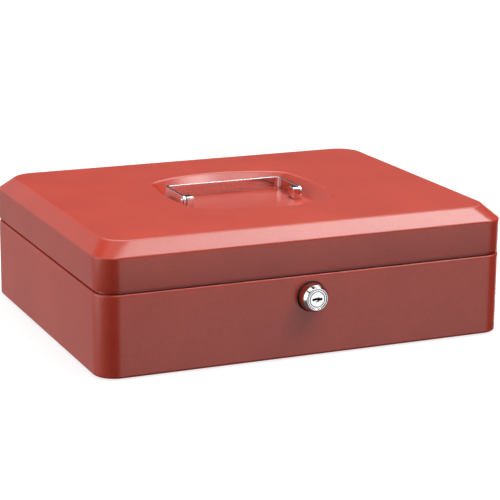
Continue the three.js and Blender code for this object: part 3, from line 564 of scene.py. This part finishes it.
# %% [markdown]
# The tray is moulded in black styrene: the mould's spark-eroded grain gives it an even fine texture
# that scatters light, and coins polish the highest grains. The gasket and feet are duller rubber,
# with a bloom that dusts the surface grey. The gasket's black ring also stands in as painted shade
# for the dark ring round the lock's base.

# %% Plastic and rubber
def moulded_plastic():
    """Near black with an even spark-eroded grain, a little duller where it is cloudy."""
    material, tree, place = start_finish("moulded_black_plastic")
    texture = grain(tree, place, 3.2, 2.0, 0.6)
    cloud = grain(tree, place, 0.05, 3.0)
    colour = tree.colour((0.016, 0.017, 0.018, 1), (0.036, 0.037, 0.039, 1), cloud * 0.5 + texture * 0.5)
    gloss = 0.40 + 0.18 * texture + 0.08 * cloud
    bump = relief(tree, texture, 0.035)
    return dress(material, tree, {"Base Color": colour, "Roughness": gloss, "Normal": bump}, ior=1.55)


def black_rubber():
    """Dull black, greyed by a bloom and finely pored."""
    material, tree, place = start_finish("black_rubber")
    bloom = grain(tree, place, 0.5, 4.0)
    pores = grain(tree, place, 4.0, 1.0)
    colour = tree.colour((0.010, 0.010, 0.011, 1), (0.040, 0.039, 0.038, 1), bloom.step(0.35, 0.8))
    gloss = 0.62 + 0.25 * bloom
    bump = relief(tree, pores, 0.020)
    return dress(material, tree, {"Base Color": colour, "Roughness": gloss, "Normal": bump}, ior=1.52)


plastic, rubber = moulded_plastic(), black_rubber()


# %% [markdown]
# ## Finishing a piece
# Every piece ends the same way: smooth shading with true edges kept sharp, its finish, the body it
# moves with and the frame part it stands for.

# %% The last step for each piece
def settle(piece, finish, body, slot, *nodes, sharp=32.0):
    """Smooth shading with edges over the given angle kept sharp, then finish, body and nodes. The slot
    argument is not used.
    """
    piece.data.materials.clear()
    piece.data.materials.append(finish)
    piece.data.shade_smooth()
    piece.data.set_sharp_from_angle(angle=math.radians(sharp))
    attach(piece, body)
    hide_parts(*nodes)
    print(f"{piece.name}: {len(piece.data.polygons)} faces, on {body}")
    return piece


# %% [markdown]
# ## Lid
# On the real box the lid is one blank, drawn in a press: walls, a bevel all round, and the handle
# well pushed down in the middle. A box with bevelled edges and a carved dent could imitate it, but
# then wall, bevel and well would not share one sheet. Here one section is carried round two loops,
# the box's outline outside and the well's outline inside, so the sheet keeps its thickness all over.

# %% Lid sizes
SHEET = 1.0
CORNER = 15.5
CHAMFER = 9.2
CHAMFER_BEND = 2.4
TOP_RUN = 4.8
TOP_CORNER = 17.0
WELL_WIDTH, WELL_LENGTH = 116.0, 120.0
WELL_SIDE_RADIUS, WELL_END_RADIUS, WELL_CORNER = 196.0, 92.5, 12.0
WELL_RUN = 9.0
WELL_LIP_BEND, WELL_FLOOR_BEND = 3.5, 3.0
FLOOR_RUN = 2.1
LID_STEPS = {"side": 10, "corner": 22, "end": 14}


# %% Well outline
def well_quadrant(side, corner, end):
    """A quarter of the well's outline: a bowed side, a corner arc and a bowed end. The corner's
    centre is one corner radius inside both bows, so it lies where two smaller circles cross."""
    side_x, side_r = WELL_WIDTH / 2 - WELL_SIDE_RADIUS, WELL_SIDE_RADIUS - WELL_CORNER
    end_y, end_r = WELL_LENGTH / 2 - WELL_END_RADIUS, WELL_END_RADIUS - WELL_CORNER
    apart = math.hypot(side_x, end_y)
    along = (side_r**2 - end_r**2 + apart**2) / (2 * apart)
    aside = math.sqrt(side_r**2 - along**2)
    unit = np.array([-side_x, end_y]) / apart
    centre = np.array([side_x, 0]) + along * unit + aside * np.array([-unit[1], unit[0]])
    first = math.atan2(centre[1], centre[0] - side_x)
    last = math.atan2(centre[1] - end_y, centre[0])

    def arc(middle, radius, angle):
        facing_out = np.column_stack([np.cos(angle), np.sin(angle)])
        return np.column_stack([np.array(middle) + radius * facing_out, facing_out])

    return np.concatenate([
        arc((side_x, 0), WELL_SIDE_RADIUS, np.linspace(0, first, side, endpoint=False)),
        arc(centre, WELL_CORNER, np.linspace(first, last, corner + 1)),
        arc((0, end_y), WELL_END_RADIUS, np.linspace(last, math.pi / 2, end + 1)[1:]),
    ])


# %% Lid shell
def lid_rings(section):
    """The section carried round the box. Up the bevel the corners open out evenly with height, from
    the walls' radius to one that leaves the top its own radius."""
    share = np.clip((section[:, 1] - (LID_TOP - CHAMFER)) / CHAMFER, 0, 1)
    radii = CORNER + share * (TOP_CORNER - CORNER + CHAMFER)
    loops = [all_round(box_quadrant(HALF_X, HALF_Y, radius, **LID_STEPS)) for radius in radii]
    return np.concatenate([swept(loop, place[None]) for loop, place in zip(loops, section)])


def lid_steel():
    """The well's upper face, the wall's outside, its edge, its inside and the well's underside, as
    rings in that order. Both the first and the last ring close across the well's floor."""
    wall = [
        (0, LID_EDGE, 0),
        (0, LID_TOP - CHAMFER, CHAMFER_BEND),
        (CHAMFER, LID_TOP, CHAMFER_BEND),
        (CHAMFER + TOP_RUN, LID_TOP, 0),
    ]
    well = [
        (-WELL_LIP_BEND, LID_TOP, 0),
        (0, LID_TOP, WELL_LIP_BEND),
        (WELL_RUN, WELL_FLOOR, WELL_FLOOR_BEND),
        (WELL_RUN + FLOOR_RUN, WELL_FLOOR, 0),
    ]
    outside, inside = bend_line(wall), bend_line(sheet_other_side(wall, SHEET))
    edge = rolled_edge(outside[:2], inside[:2])
    hollow = all_round(well_quadrant(**LID_STEPS))
    rings = [
        swept(hollow, bend_line(well)[::-1]),
        lid_rings(outside[:0:-1]),
        lid_rings(edge),
        lid_rings(inside[1:]),
        swept(hollow, bend_line(sheet_other_side(well, SHEET))),
    ]
    return closed_mesh("lid_steel", np.concatenate(rings))


lid = lid_steel()
print("lid grid:", len(lid.data.vertices), "points")

# %% [markdown]
# The hinges need a notch in the back edge of both shells, and the well's floor has a hole for each
# handle post's screw. Those are cut with the exact Boolean, because they are punched in the real
# sheet after it is drawn.

# %% Hinge notches and screw holes
HINGE_SIDES = {"left": -1, "right": 1}
hinge_pin_low, hinge_pin_high = box_mm("hinge_pin_right")
HINGE_X = (hinge_pin_low[0] + hinge_pin_high[0]) / 2
HINGE_Y = (hinge_pin_low[1] + hinge_pin_high[1]) / 2
HINGE_Z = (hinge_pin_low[2] + hinge_pin_high[2]) / 2
NOTCH_GAP = 0.6
NOTCH_HALF = (hinge_pin_high[0] - hinge_pin_low[0]) / 2 + NOTCH_GAP
NOTCH_HIGH = 2.6
NOTCH_DEEP = 6.0


def notch(side, low, high):
    """A block through the back wall round one hinge, between two heights."""
    x = side * HINGE_X
    back_face = MID_Y + HALF_Y
    return cuboid((x - NOTCH_HALF, back_face - NOTCH_DEEP, low), (x + NOTCH_HALF, back_face + 1, high))


post_low, post_high = box_mm("handle_post_right")
POST_X = (post_low[0] + post_high[0]) / 2
POST_Y = (post_low[1] + post_high[1]) / 2
SCREW_HOLE = 1.5
for side in HINGE_SIDES.values():
    combine(lid, notch(side, LID_EDGE - 1, HINGE_Z + NOTCH_HIGH), "DIFFERENCE")
    hole = turned(np.array([(SCREW_HOLE, WELL_FLOOR - 3), (SCREW_HOLE, WELL_FLOOR + 1)]), 24)
    combine(lid, closed_mesh("tool", hole + (side * POST_X, POST_Y, 0)), "DIFFERENCE")
settle(lid, red, "lid", "red_paint", "lid_shell")

# %% [markdown]
# ## Body
# The body's wall is bent in at the foot as a flange that carries the base, and stepped in at the top
# as a lip that the lid closes over. It is one section carried once round the box, a closed band. The
# lock's hole has two flats, so that the lock cannot turn in it.

# %% Body shell
FLANGE = 12.0
FOOT_BEND = 2.0
PARTING = 1.7
SHOULDER_BEND = 1.8
LIP_INSET = 2.4
RIM = LID_EDGE - PARTING
BODY_STEPS = {"side": 4, "corner": 22, "end": 4}
LOCK_HOLE, LOCK_FLAT = 8.6, 7.8


def body_steel():
    """The wall's outside, its foot's edge, its inside and the lip's edge: a closed section."""
    wall = [
        (FLANGE, STEEL_LOW, 0),
        (0, STEEL_LOW, FOOT_BEND),
        (0, RIM, SHOULDER_BEND),
        (LIP_INSET, RIM, (LIP_INSET - SHOULDER_BEND) / 2),
        (LIP_INSET, LIP_TOP, 0),
    ]
    outside, inside = bend_line(wall), bend_line(sheet_other_side(wall, SHEET))
    foot_edge = rolled_edge(outside[:2], inside[:2])
    lip_edge = rolled_edge(outside[:-3:-1], inside[:-3:-1])
    section = [outside[-2:0:-1], foot_edge, inside[1:-1], lip_edge[::-1]]
    outline = all_round(box_quadrant(HALF_X, HALF_Y, CORNER, **BODY_STEPS))
    return closed_mesh("body_steel", swept(outline, np.concatenate(section)), close_rows=True)


body = body_steel()
for side in HINGE_SIDES.values():
    combine(body, notch(side, HINGE_Z - NOTCH_HIGH, LIP_TOP + 1), "DIFFERENCE")
front_face = MID_Y - HALF_Y
lock_hole = circle(LOCK_HOLE, 64)
lock_hole[:, 0] = np.clip(lock_hole[:, 0], -LOCK_FLAT, LOCK_FLAT)
punch = facing(plate(lock_hole, front_face - 2, front_face + 3, 0.0, 1), "Y") + (0, 0, LOCK_Z)
combine(body, closed_mesh("tool", punch), "DIFFERENCE")
settle(body, red, "body", "red_paint", "body_shell")

# %% [markdown]
# ## Bail handle
# The bail is a flat steel strip standing on edge, bent to a U and chromed. A curve with a bevel
# profile could make it, but the ends have to be rounded about the pivot, so the strip's section is
# carried along the U by formula and its height follows half a circle past each pivot.

# %% Bail sizes
STRIP_THICK = 1.8
STRIP_EDGE = 0.35
BAIL_BEND = 5.0
PIVOT_HOLE = 1.7
BAIL_HALF = bail_high[0]
STRIP_HALF = (bail_high[2] - bail_low[2]) / 2
BAIL_REACH = bail_high[1] - MID_Y


# %% Bail strip
def u_path():
    """Half of the U in plan, from the tip behind the pivot to the middle of the bar: x, y, the
    outward direction, and the strip's height there as a share, sin(a) where y = -half x cos(a)."""
    tip = np.radians(np.linspace(12, 90, 14))
    bend = np.linspace(0, math.pi / 2, 17)
    centre_x, centre_y = BAIL_HALF - BAIL_BEND, BAIL_REACH - BAIL_BEND
    arm_y = np.linspace(0, centre_y, 5)[1:-1]
    bar_x = np.linspace(centre_x, 0, 5)[1:]
    arm, bar = len(tip) + len(arm_y), len(bar_x)
    x = [np.full(arm, BAIL_HALF), centre_x + BAIL_BEND * np.cos(bend), bar_x]
    y = [-STRIP_HALF * np.cos(tip), arm_y, centre_y + BAIL_BEND * np.sin(bend), np.full(bar, BAIL_REACH)]
    out_x = [np.ones(arm), np.cos(bend), np.zeros(bar)]
    out_y = [np.zeros(arm), np.sin(bend), np.ones(bar)]
    share = [np.sin(tip), np.ones(len(arm_y) + len(bend) + bar)]
    return np.column_stack([np.concatenate(part) for part in (x, y, out_x, out_y, share)])


def bail_strip():
    """The strip's section at each point of the U: plan place = path - outward direction x inset,
    height = share x the section's height. A bore through both ends takes the pins."""
    half = u_path()
    path = np.concatenate([half, half[-2::-1] * (-1, 1, -1, 1, 1)])
    section = all_round(box_quadrant(STRIP_THICK / 2, STRIP_HALF, STRIP_EDGE, 2, 6, 2))
    inset = STRIP_THICK / 2 - section[:, 0]
    x = path[:, :1] - path[:, 2:3] * inset
    y = path[:, 1:2] - path[:, 3:4] * inset + MID_Y
    z = path[:, 4:] * section[:, 1] + PIVOT_Z
    strip = closed_mesh("bail_strip", np.stack([x, y, z], -1))
    bore = turned(np.array([(PIVOT_HOLE, -BAIL_HALF - 2), (PIVOT_HOLE, BAIL_HALF + 2)]), 32)
    return combine(strip, closed_mesh("tool", facing(bore, "X") + (0, MID_Y, PIVOT_Z)), "DIFFERENCE")


settle(bail_strip(), chrome, "handle", "chrome", "bail", sharp=28)

# %% [markdown]
# Each arm turns on a headed pin in a small cast post. The posts are blocks with a rounded top and
# softened rims, so they are plates raised across the box. The pins are turned, with domed heads.

# %% Handle posts
POST_TOP_BEND = 1.6
POST_RIM = 0.45
POST_FOOT_BEND = 0.3


def post_outline():
    """The post seen from the side: a flat foot and a top with two round shoulders."""
    half = (post_high[1] - post_low[1]) / 2
    low, high = post_low[2], post_high[2]
    corners = [
        (0, low, 0),
        (half, low, POST_FOOT_BEND),
        (half, high, POST_TOP_BEND),
        (-half, high, POST_TOP_BEND),
        (-half, low, POST_FOOT_BEND),
        (0, low, 0),
    ]
    return from_points(bend_line(corners)[:-1] + (POST_Y, 0))


for side, sign in HINGE_SIDES.items():
    post_x = sorted((sign * post_low[0], sign * post_high[0]))
    block = closed_mesh(f"post_{side}", facing(plate(post_outline(), *post_x, POST_RIM), "X"))
    settle(block, chrome, "lid", "chrome", f"handle_post_{side}")

# %% Handle pins
PIN_RADIUS = 1.4
PIN_HEAD = (pin_high[2] - pin_low[2]) / 2
HEAD_THICK = 1.0


def pin_profile(start, end):
    """Shank, collar and a domed head, as radius and distance along the pin."""
    return bend_line([
        (PIN_RADIUS, start, 0),
        (PIN_RADIUS, end - HEAD_THICK, 0.1),
        (PIN_HEAD, end - HEAD_THICK, 0.15),
        (PIN_HEAD, end - HEAD_THICK * 0.55, 0.4),
        (PIN_HEAD * 0.62, end, 0.8),
        (PIN_HEAD * 0.12, end, 0),
    ])


for side, sign in HINGE_SIDES.items():
    pin = facing(turned(pin_profile(pin_low[0], pin_high[0]), 48), "X") * (sign, 1, 1)
    piece = closed_mesh(f"pivot_pin_{side}", pin + (0, MID_Y, PIVOT_Z))
    settle(piece, chrome, "lid", "chrome", f"handle_pin_{side}")

# %% [markdown]
# ## Lock
# The lock's housing is turned from a bar: a cone in front, a threaded barrel behind with two milled
# flats, and a stepped bore for the plug. Everything round the lock's axis is a profile turned about
# it. Flats are made by clamping the turned points, which is what a milling cutter does to the bar.

# %% Lock housing
RIM_BEND = 0.75
CONE_BASE, CONE_FACE = 10.0, 7.75
SHOULDER_RADIUS, SHOULDER_DEPTH, SHOULDER_BLEND = 9.6, 3.0, 4.0
SEAT = 8.6
BARREL, BARREL_FLAT = 8.3, 7.5
BARREL_END = lock_high[1] - LOCK_TIP
PLUG_BORE, PLUG_FACE_BORE, STEP_DEPTH = 5.7, 6.9, 3.5
THREAD_PITCH, THREAD_DEPTH = 1.0, 0.22
THREAD_START, THREAD_STOP = 1.5, 0.5
CHAMFER_IN, CHAMFER_BACK = 0.3, 0.4


def on_lock_axis(grid):
    """A shape drawn from the lock's tip inwards, put on the lock's axis."""
    return facing(grid, "Y") + (0, LOCK_TIP, LOCK_Z)


def housing_rings():
    """Cone, thread and bore turned in one profile. The thread's radius falls by
    depth x (1 - cos(2 pi x turns)) / 2, and the flats clamp x on the barrel's rings."""
    front = bend_line([
        (PLUG_FACE_BORE, STEP_DEPTH, 0),
        (PLUG_FACE_BORE, 0, 0.25),
        (CONE_FACE, 0, RIM_BEND),
        (SHOULDER_RADIUS, SHOULDER_DEPTH, SHOULDER_BLEND),
        (CONE_BASE, SEAT, 0.35),
        (BARREL, SEAT, 0),
    ])
    along = np.arange(SEAT + THREAD_START, BARREL_END - THREAD_STOP, THREAD_PITCH / 4)
    groove = THREAD_DEPTH * (0.5 - 0.5 * np.cos(math.tau * (along - along[0]) / THREAD_PITCH))
    thread = np.column_stack([BARREL - groove, along])
    behind = bend_line([
        (BARREL, BARREL_END - CHAMFER_BACK, 0),
        (BARREL - CHAMFER_IN, BARREL_END, 0.1),
        (PLUG_BORE, BARREL_END, 0.1),
        (PLUG_BORE, STEP_DEPTH, 0),
    ])
    grid = turned(np.concatenate([front, thread, behind]), 96)
    barrel = slice(len(front) - 1, len(front) + len(thread) + 1)
    grid[barrel, :, 0] = np.clip(grid[barrel, :, 0], -BARREL_FLAT, BARREL_FLAT)
    return grid


housing = closed_mesh("lock_cone", on_lock_axis(housing_rings()), close_rows=True)
settle(housing, chrome, "body", "chrome", "lock_housing", sharp=40)

# %% Lock gasket, whose black ring is also painted shade
gasket_low, gasket_high = box_mm("lock_gasket")
GASKET_RADIUS = (gasket_high[2] - gasket_low[2]) / 2
GASKET_HOLE = 8.6


def seal_and_shade_rings():
    """A flat ring with rounded rims, turned from its section, which starts in the hole's middle. Its black
    partly paints the shade round the lock's base.
    """
    low, high = gasket_low[1] - LOCK_TIP, gasket_high[1] - LOCK_TIP
    corners = [
        (GASKET_HOLE, (low + high) / 2, 0),
        (GASKET_HOLE, low, 0.1),
        (GASKET_RADIUS, low, 0.2),
        (GASKET_RADIUS, high, 0.2),
        (GASKET_HOLE, high, 0.1),
        (GASKET_HOLE, (low + high) / 2, 0),
    ]
    return turned(bend_line(corners)[:-1], 72)


# The black ring is a rubber gasket and also painted shade: it stands for the dark ring round the lock's base.
gasket = closed_mesh("lock_seal_and_shade_ring", on_lock_axis(seal_and_shade_rings()), close_rows=True)
settle(gasket, rubber, "body", "black_plastic", "lock_gasket")

# %% [markdown]
# The plug is turned too, and then broached for the key: a flat slot with a round eye in its middle.
# A ring is scribed round the face. The real face has a key number, which is left off.

# %% Lock plug
plug_low, plug_high = box_mm("lock_plug")
PLUG_FACE, PLUG_BODY = 6.7, 5.5
FACE_START = plug_low[1] - LOCK_TIP
FACE_THICK, PLUG_PROUD, KEYWAY_DEPTH = 3.0, 0.2, 16.4
FACE_END = FACE_START + FACE_THICK
PLUG_END = BARREL_END + PLUG_PROUD
TAIL_HALF = 3.0
KEY_WIDE, KEY_HIGH = 7.6, 1.8
EYE_RADIUS, EYE_DEPTH = 1.9, 1.2
KEYWAY_END = FACE_START + KEYWAY_DEPTH
SCRIBE_RADIUS, SCRIBE_WIDE, SCRIBE_DEEP = 5.35, 0.35, 0.18


def plug_rings():
    """The face with its scribed ring, its rim, and the narrower body behind, turned."""
    return turned(bend_line([
        (0.3, FACE_START, 0),
        (SCRIBE_RADIUS - SCRIBE_WIDE, FACE_START, 0.08),
        (SCRIBE_RADIUS, FACE_START + SCRIBE_DEEP, 0.08),
        (SCRIBE_RADIUS + SCRIBE_WIDE, FACE_START, 0.08),
        (PLUG_FACE, FACE_START, 0.35),
        (PLUG_FACE, FACE_END, 0.1),
        (PLUG_BODY, FACE_END, 0.1),
        (PLUG_BODY, PLUG_END, 0.2),
        (TAIL_HALF, PLUG_END, 0),
    ], steps=4), 96)


def key_slot():
    """The broach's outline, a flat bar with round ends, run in from the face."""
    quarter = box_quadrant(KEY_WIDE / 2, KEY_HIGH / 2, KEY_HIGH / 2 - 0.05, 1, 8, 1)
    return on_lock_axis(plate(all_round(quarter), FACE_START - 1, KEYWAY_END, 0.0, 1))


plug = closed_mesh("key_plug", on_lock_axis(plug_rings()))
tail_low = (-TAIL_HALF, LOCK_TIP + PLUG_END - 1, LOCK_Z - TAIL_HALF)
combine(plug, cuboid(tail_low, (TAIL_HALF, plug_high[1], LOCK_Z + TAIL_HALF)), "UNION")
combine(plug, closed_mesh("tool", key_slot()), "DIFFERENCE")
eye = turned(np.array([(EYE_RADIUS, FACE_START - 1), (EYE_RADIUS, FACE_START + EYE_DEPTH)]), 48)
combine(plug, closed_mesh("tool", on_lock_axis(eye)), "DIFFERENCE")
settle(plug, chrome, "lock", "chrome", "lock_plug")

# %% [markdown]
# ## Hinges
# A hinge leaf is a strip whose end is rolled round the pin. Seen from the side it is one outline: up
# the leaf, round the outside of the curl and back round its inside. Each knuckle is that outline as a
# plate, and the leaf joins them. The frame's leaves have plain tubes; the rolled ends are added here.

# %% Rolled knuckles
LEAF_CORNER = 1.5
KNUCKLE_BORE = 1.2
KNUCKLE_RADIUS = 2.2
CURL_TURN = math.radians(305)
LEAF_HALF = 20.0
KNUCKLE_HALF = 6.8
KNUCKLE_GAP = 0.4
LEAF_RIM = 0.2


def curl_outline(far):
    """The leaf's end from the side: straight from z = far to the axis, then two arcs of the same
    centre, out and back. The leaf lies behind the axis, towards the inside of the box."""
    turn = np.linspace(math.pi, math.pi - math.copysign(CURL_TURN, -far), 40)
    outer = KNUCKLE_RADIUS * np.column_stack([np.cos(turn), np.sin(turn)])
    inner = KNUCKLE_BORE * np.column_stack([np.cos(turn), np.sin(turn)])[::-1]
    ends = [(-KNUCKLE_RADIUS, far)], [(-KNUCKLE_BORE, far)]
    points = np.concatenate([ends[0], outer, inner, ends[1]])
    return points if far > 0 else points[::-1]


def leaf(side, direction, spans, far):
    """One leaf: its flat plate, and a rolled knuckle for each span along the pin."""
    x, start = side * HINGE_X, direction * NOTCH_HIGH
    low, high = sorted((start, far))
    flat = box_quadrant(LEAF_HALF, (high - low) / 2, LEAF_CORNER, 1, 6, 1)
    flat = plate(all_round(flat) + (x, (low + high) / 2, 0, 0), -KNUCKLE_RADIUS, -KNUCKLE_BORE, LEAF_RIM)
    joined = closed_mesh("leaf", facing(flat, "Y") + (0, HINGE_Y, HINGE_Z))
    for span in spans:
        outline = from_points(curl_outline(start + direction))
        knuckle = facing(plate(outline, x + span[0], x + span[1], LEAF_RIM / 2), "X") + (0, HINGE_Y, HINGE_Z)
        combine(joined, closed_mesh("tool", knuckle), "UNION")
    return joined


OUTER_SPANS = [(-LEAF_HALF, -KNUCKLE_HALF - KNUCKLE_GAP), (KNUCKLE_HALF + KNUCKLE_GAP, LEAF_HALF)]
MIDDLE_SPAN = [(-KNUCKLE_HALF, KNUCKLE_HALF)]
LEAF_REACH = box_mm("hinge_lid_leaf_right")[1][2] - HINGE_Z
for side, sign in HINGE_SIDES.items():
    below = leaf(sign, -1, OUTER_SPANS, -LEAF_REACH)
    below.name = f"leaf_on_body_{side}"
    settle(below, red, "body", "red_paint", f"hinge_body_leaf_{side}")
    above = leaf(sign, 1, MIDDLE_SPAN, LEAF_REACH)
    above.name = f"leaf_on_lid_{side}"
    settle(above, red, "lid", "red_paint", f"hinge_lid_leaf_{side}")

# %% Hinge pins
PIN_REACH = (hinge_pin_high[0] - hinge_pin_low[0]) / 2
PIN_CAP = (hinge_pin_high[2] - hinge_pin_low[2]) / 2
CAP_THICK = 0.7
WIRE_RADIUS = 1.0


def hinge_pin_profile():
    """A wire with an upset, rounded head at both ends."""
    half = bend_line([
        (0.3, PIN_REACH, 0),
        (PIN_CAP, PIN_REACH, 0.45),
        (PIN_CAP, PIN_REACH - CAP_THICK, 0.1),
        (WIRE_RADIUS, PIN_REACH - CAP_THICK, 0),
    ], steps=5)
    return np.concatenate([half, half[::-1] * (1, -1)])


for side, sign in HINGE_SIDES.items():
    wire = facing(turned(hinge_pin_profile(), 32), "X") + (sign * HINGE_X, HINGE_Y, HINGE_Z)
    settle(closed_mesh(f"hinge_wire_{side}", wire), zinc, "body", "steel", f"hinge_pin_{side}")

# %% [markdown]
# ## Feet
# Each foot is a rubber button pushed through the base: a rounded disc below with a dimple in its
# middle, a stem, and a bulb that snaps in above. It is a turned profile again, closed on its axis.

# %% Rubber feet
FOOT_RADIUS, FOOT_STEM, FOOT_BULB = 7.0, 2.6, 4.0
DIMPLE_RADIUS, DIMPLE_DEEP = 2.2, 0.4
PANEL_GAP = 0.3


def foot_profile(low, high):
    """Dimple, disc, stem and bulb in turn, as radius and height."""
    panel_low, panel_high = box_mm("base_panel")
    under, over = panel_low[2] - PANEL_GAP, panel_high[2] + PANEL_GAP
    return bend_line([
        (0.2, low + DIMPLE_DEEP, 0),
        (DIMPLE_RADIUS * 0.6, low + DIMPLE_DEEP, 0.6),
        (DIMPLE_RADIUS, low, 0.3),
        (FOOT_RADIUS, low, 0.8),
        (FOOT_RADIUS, under, 0.15),
        (FOOT_STEM, under, 0.2),
        (FOOT_STEM, over, 0.1),
        (FOOT_BULB, over, 0.3),
        (FOOT_STEM, high, 0.8),
        (0.2, high, 0),
    ], steps=5)


for place in ("front_left", "front_right", "rear_left", "rear_right"):
    low, high = box_mm(f"foot_{place}")
    button = turned(foot_profile(low[2], high[2]), 56) + ((low[0] + high[0]) / 2, (low[1] + high[1]) / 2, 0)
    settle(closed_mesh(f"button_{place}", button), rubber, "body", "rubber", f"foot_{place}")

# %% [markdown]
# ## Parts whose frame shape is already right
# The tray, its dividers, the rests, the catch, the cam and the small hardware are flat or moulded
# shapes that the frame gives exactly. They only lack softened edges. A copy's loose triangles are
# merged, the triangles that lie in one plane become one face again, and a Bevel rounds the edges.

# %% Softened copies
FLAT = math.radians(0.5)


def softened(node, width_mm, finish, slot, steps=2, sharp=32.0):
    """A copy of a CAD node with its edges rounded to the given width, riding where the node does."""
    source = frame["nodes"][node]
    mesh = source.data.copy()
    shape = bmesh.new()
    shape.from_mesh(mesh)
    bmesh.ops.remove_doubles(shape, verts=shape.verts, dist=0.001 * MM)
    bmesh.ops.dissolve_limit(shape, angle_limit=FLAT, verts=shape.verts, edges=shape.edges)
    shape.to_mesh(mesh)
    shape.free()
    piece = bpy.data.objects.new(f"{node}_soft", mesh)
    bpy.context.scene.collection.objects.link(piece)
    edge = piece.modifiers.new("softened edges", "BEVEL")
    edge.width = width_mm * MM
    edge.segments = steps
    edge.limit_method = "ANGLE"
    edge.angle_limit = math.radians(sharp)
    edge.use_clamp_overlap = True
    return settle(piece, finish, source["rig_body"], slot, node, sharp=sharp + 10)


DIVIDERS = [f"coin_divider_{i}" for i in range(1, 5)] + ["note_divider_1"]
softened("base_panel", 0.3, red, "red_paint")
for side in HINGE_SIDES:
    softened(f"tray_rest_{side}", 0.25, red, "red_paint")
    softened(f"handle_screw_{side}", 0.2, zinc, "steel")
softened("coin_tray", 0.35, plastic, "black_plastic")
for node in DIVIDERS:
    softened(node, 0.3, plastic, "black_plastic")
softened("lock_catch", 0.2, zinc, "steel")
softened("lock_clip", 0.2, zinc, "steel")
softened("lock_cam", 0.25, zinc, "steel")
softened("cam_screw", 0.2, zinc, "steel")
for number in range(1, 5):
    softened(f"lock_wafer_{number}", 0.08, brass, "brass", steps=1)
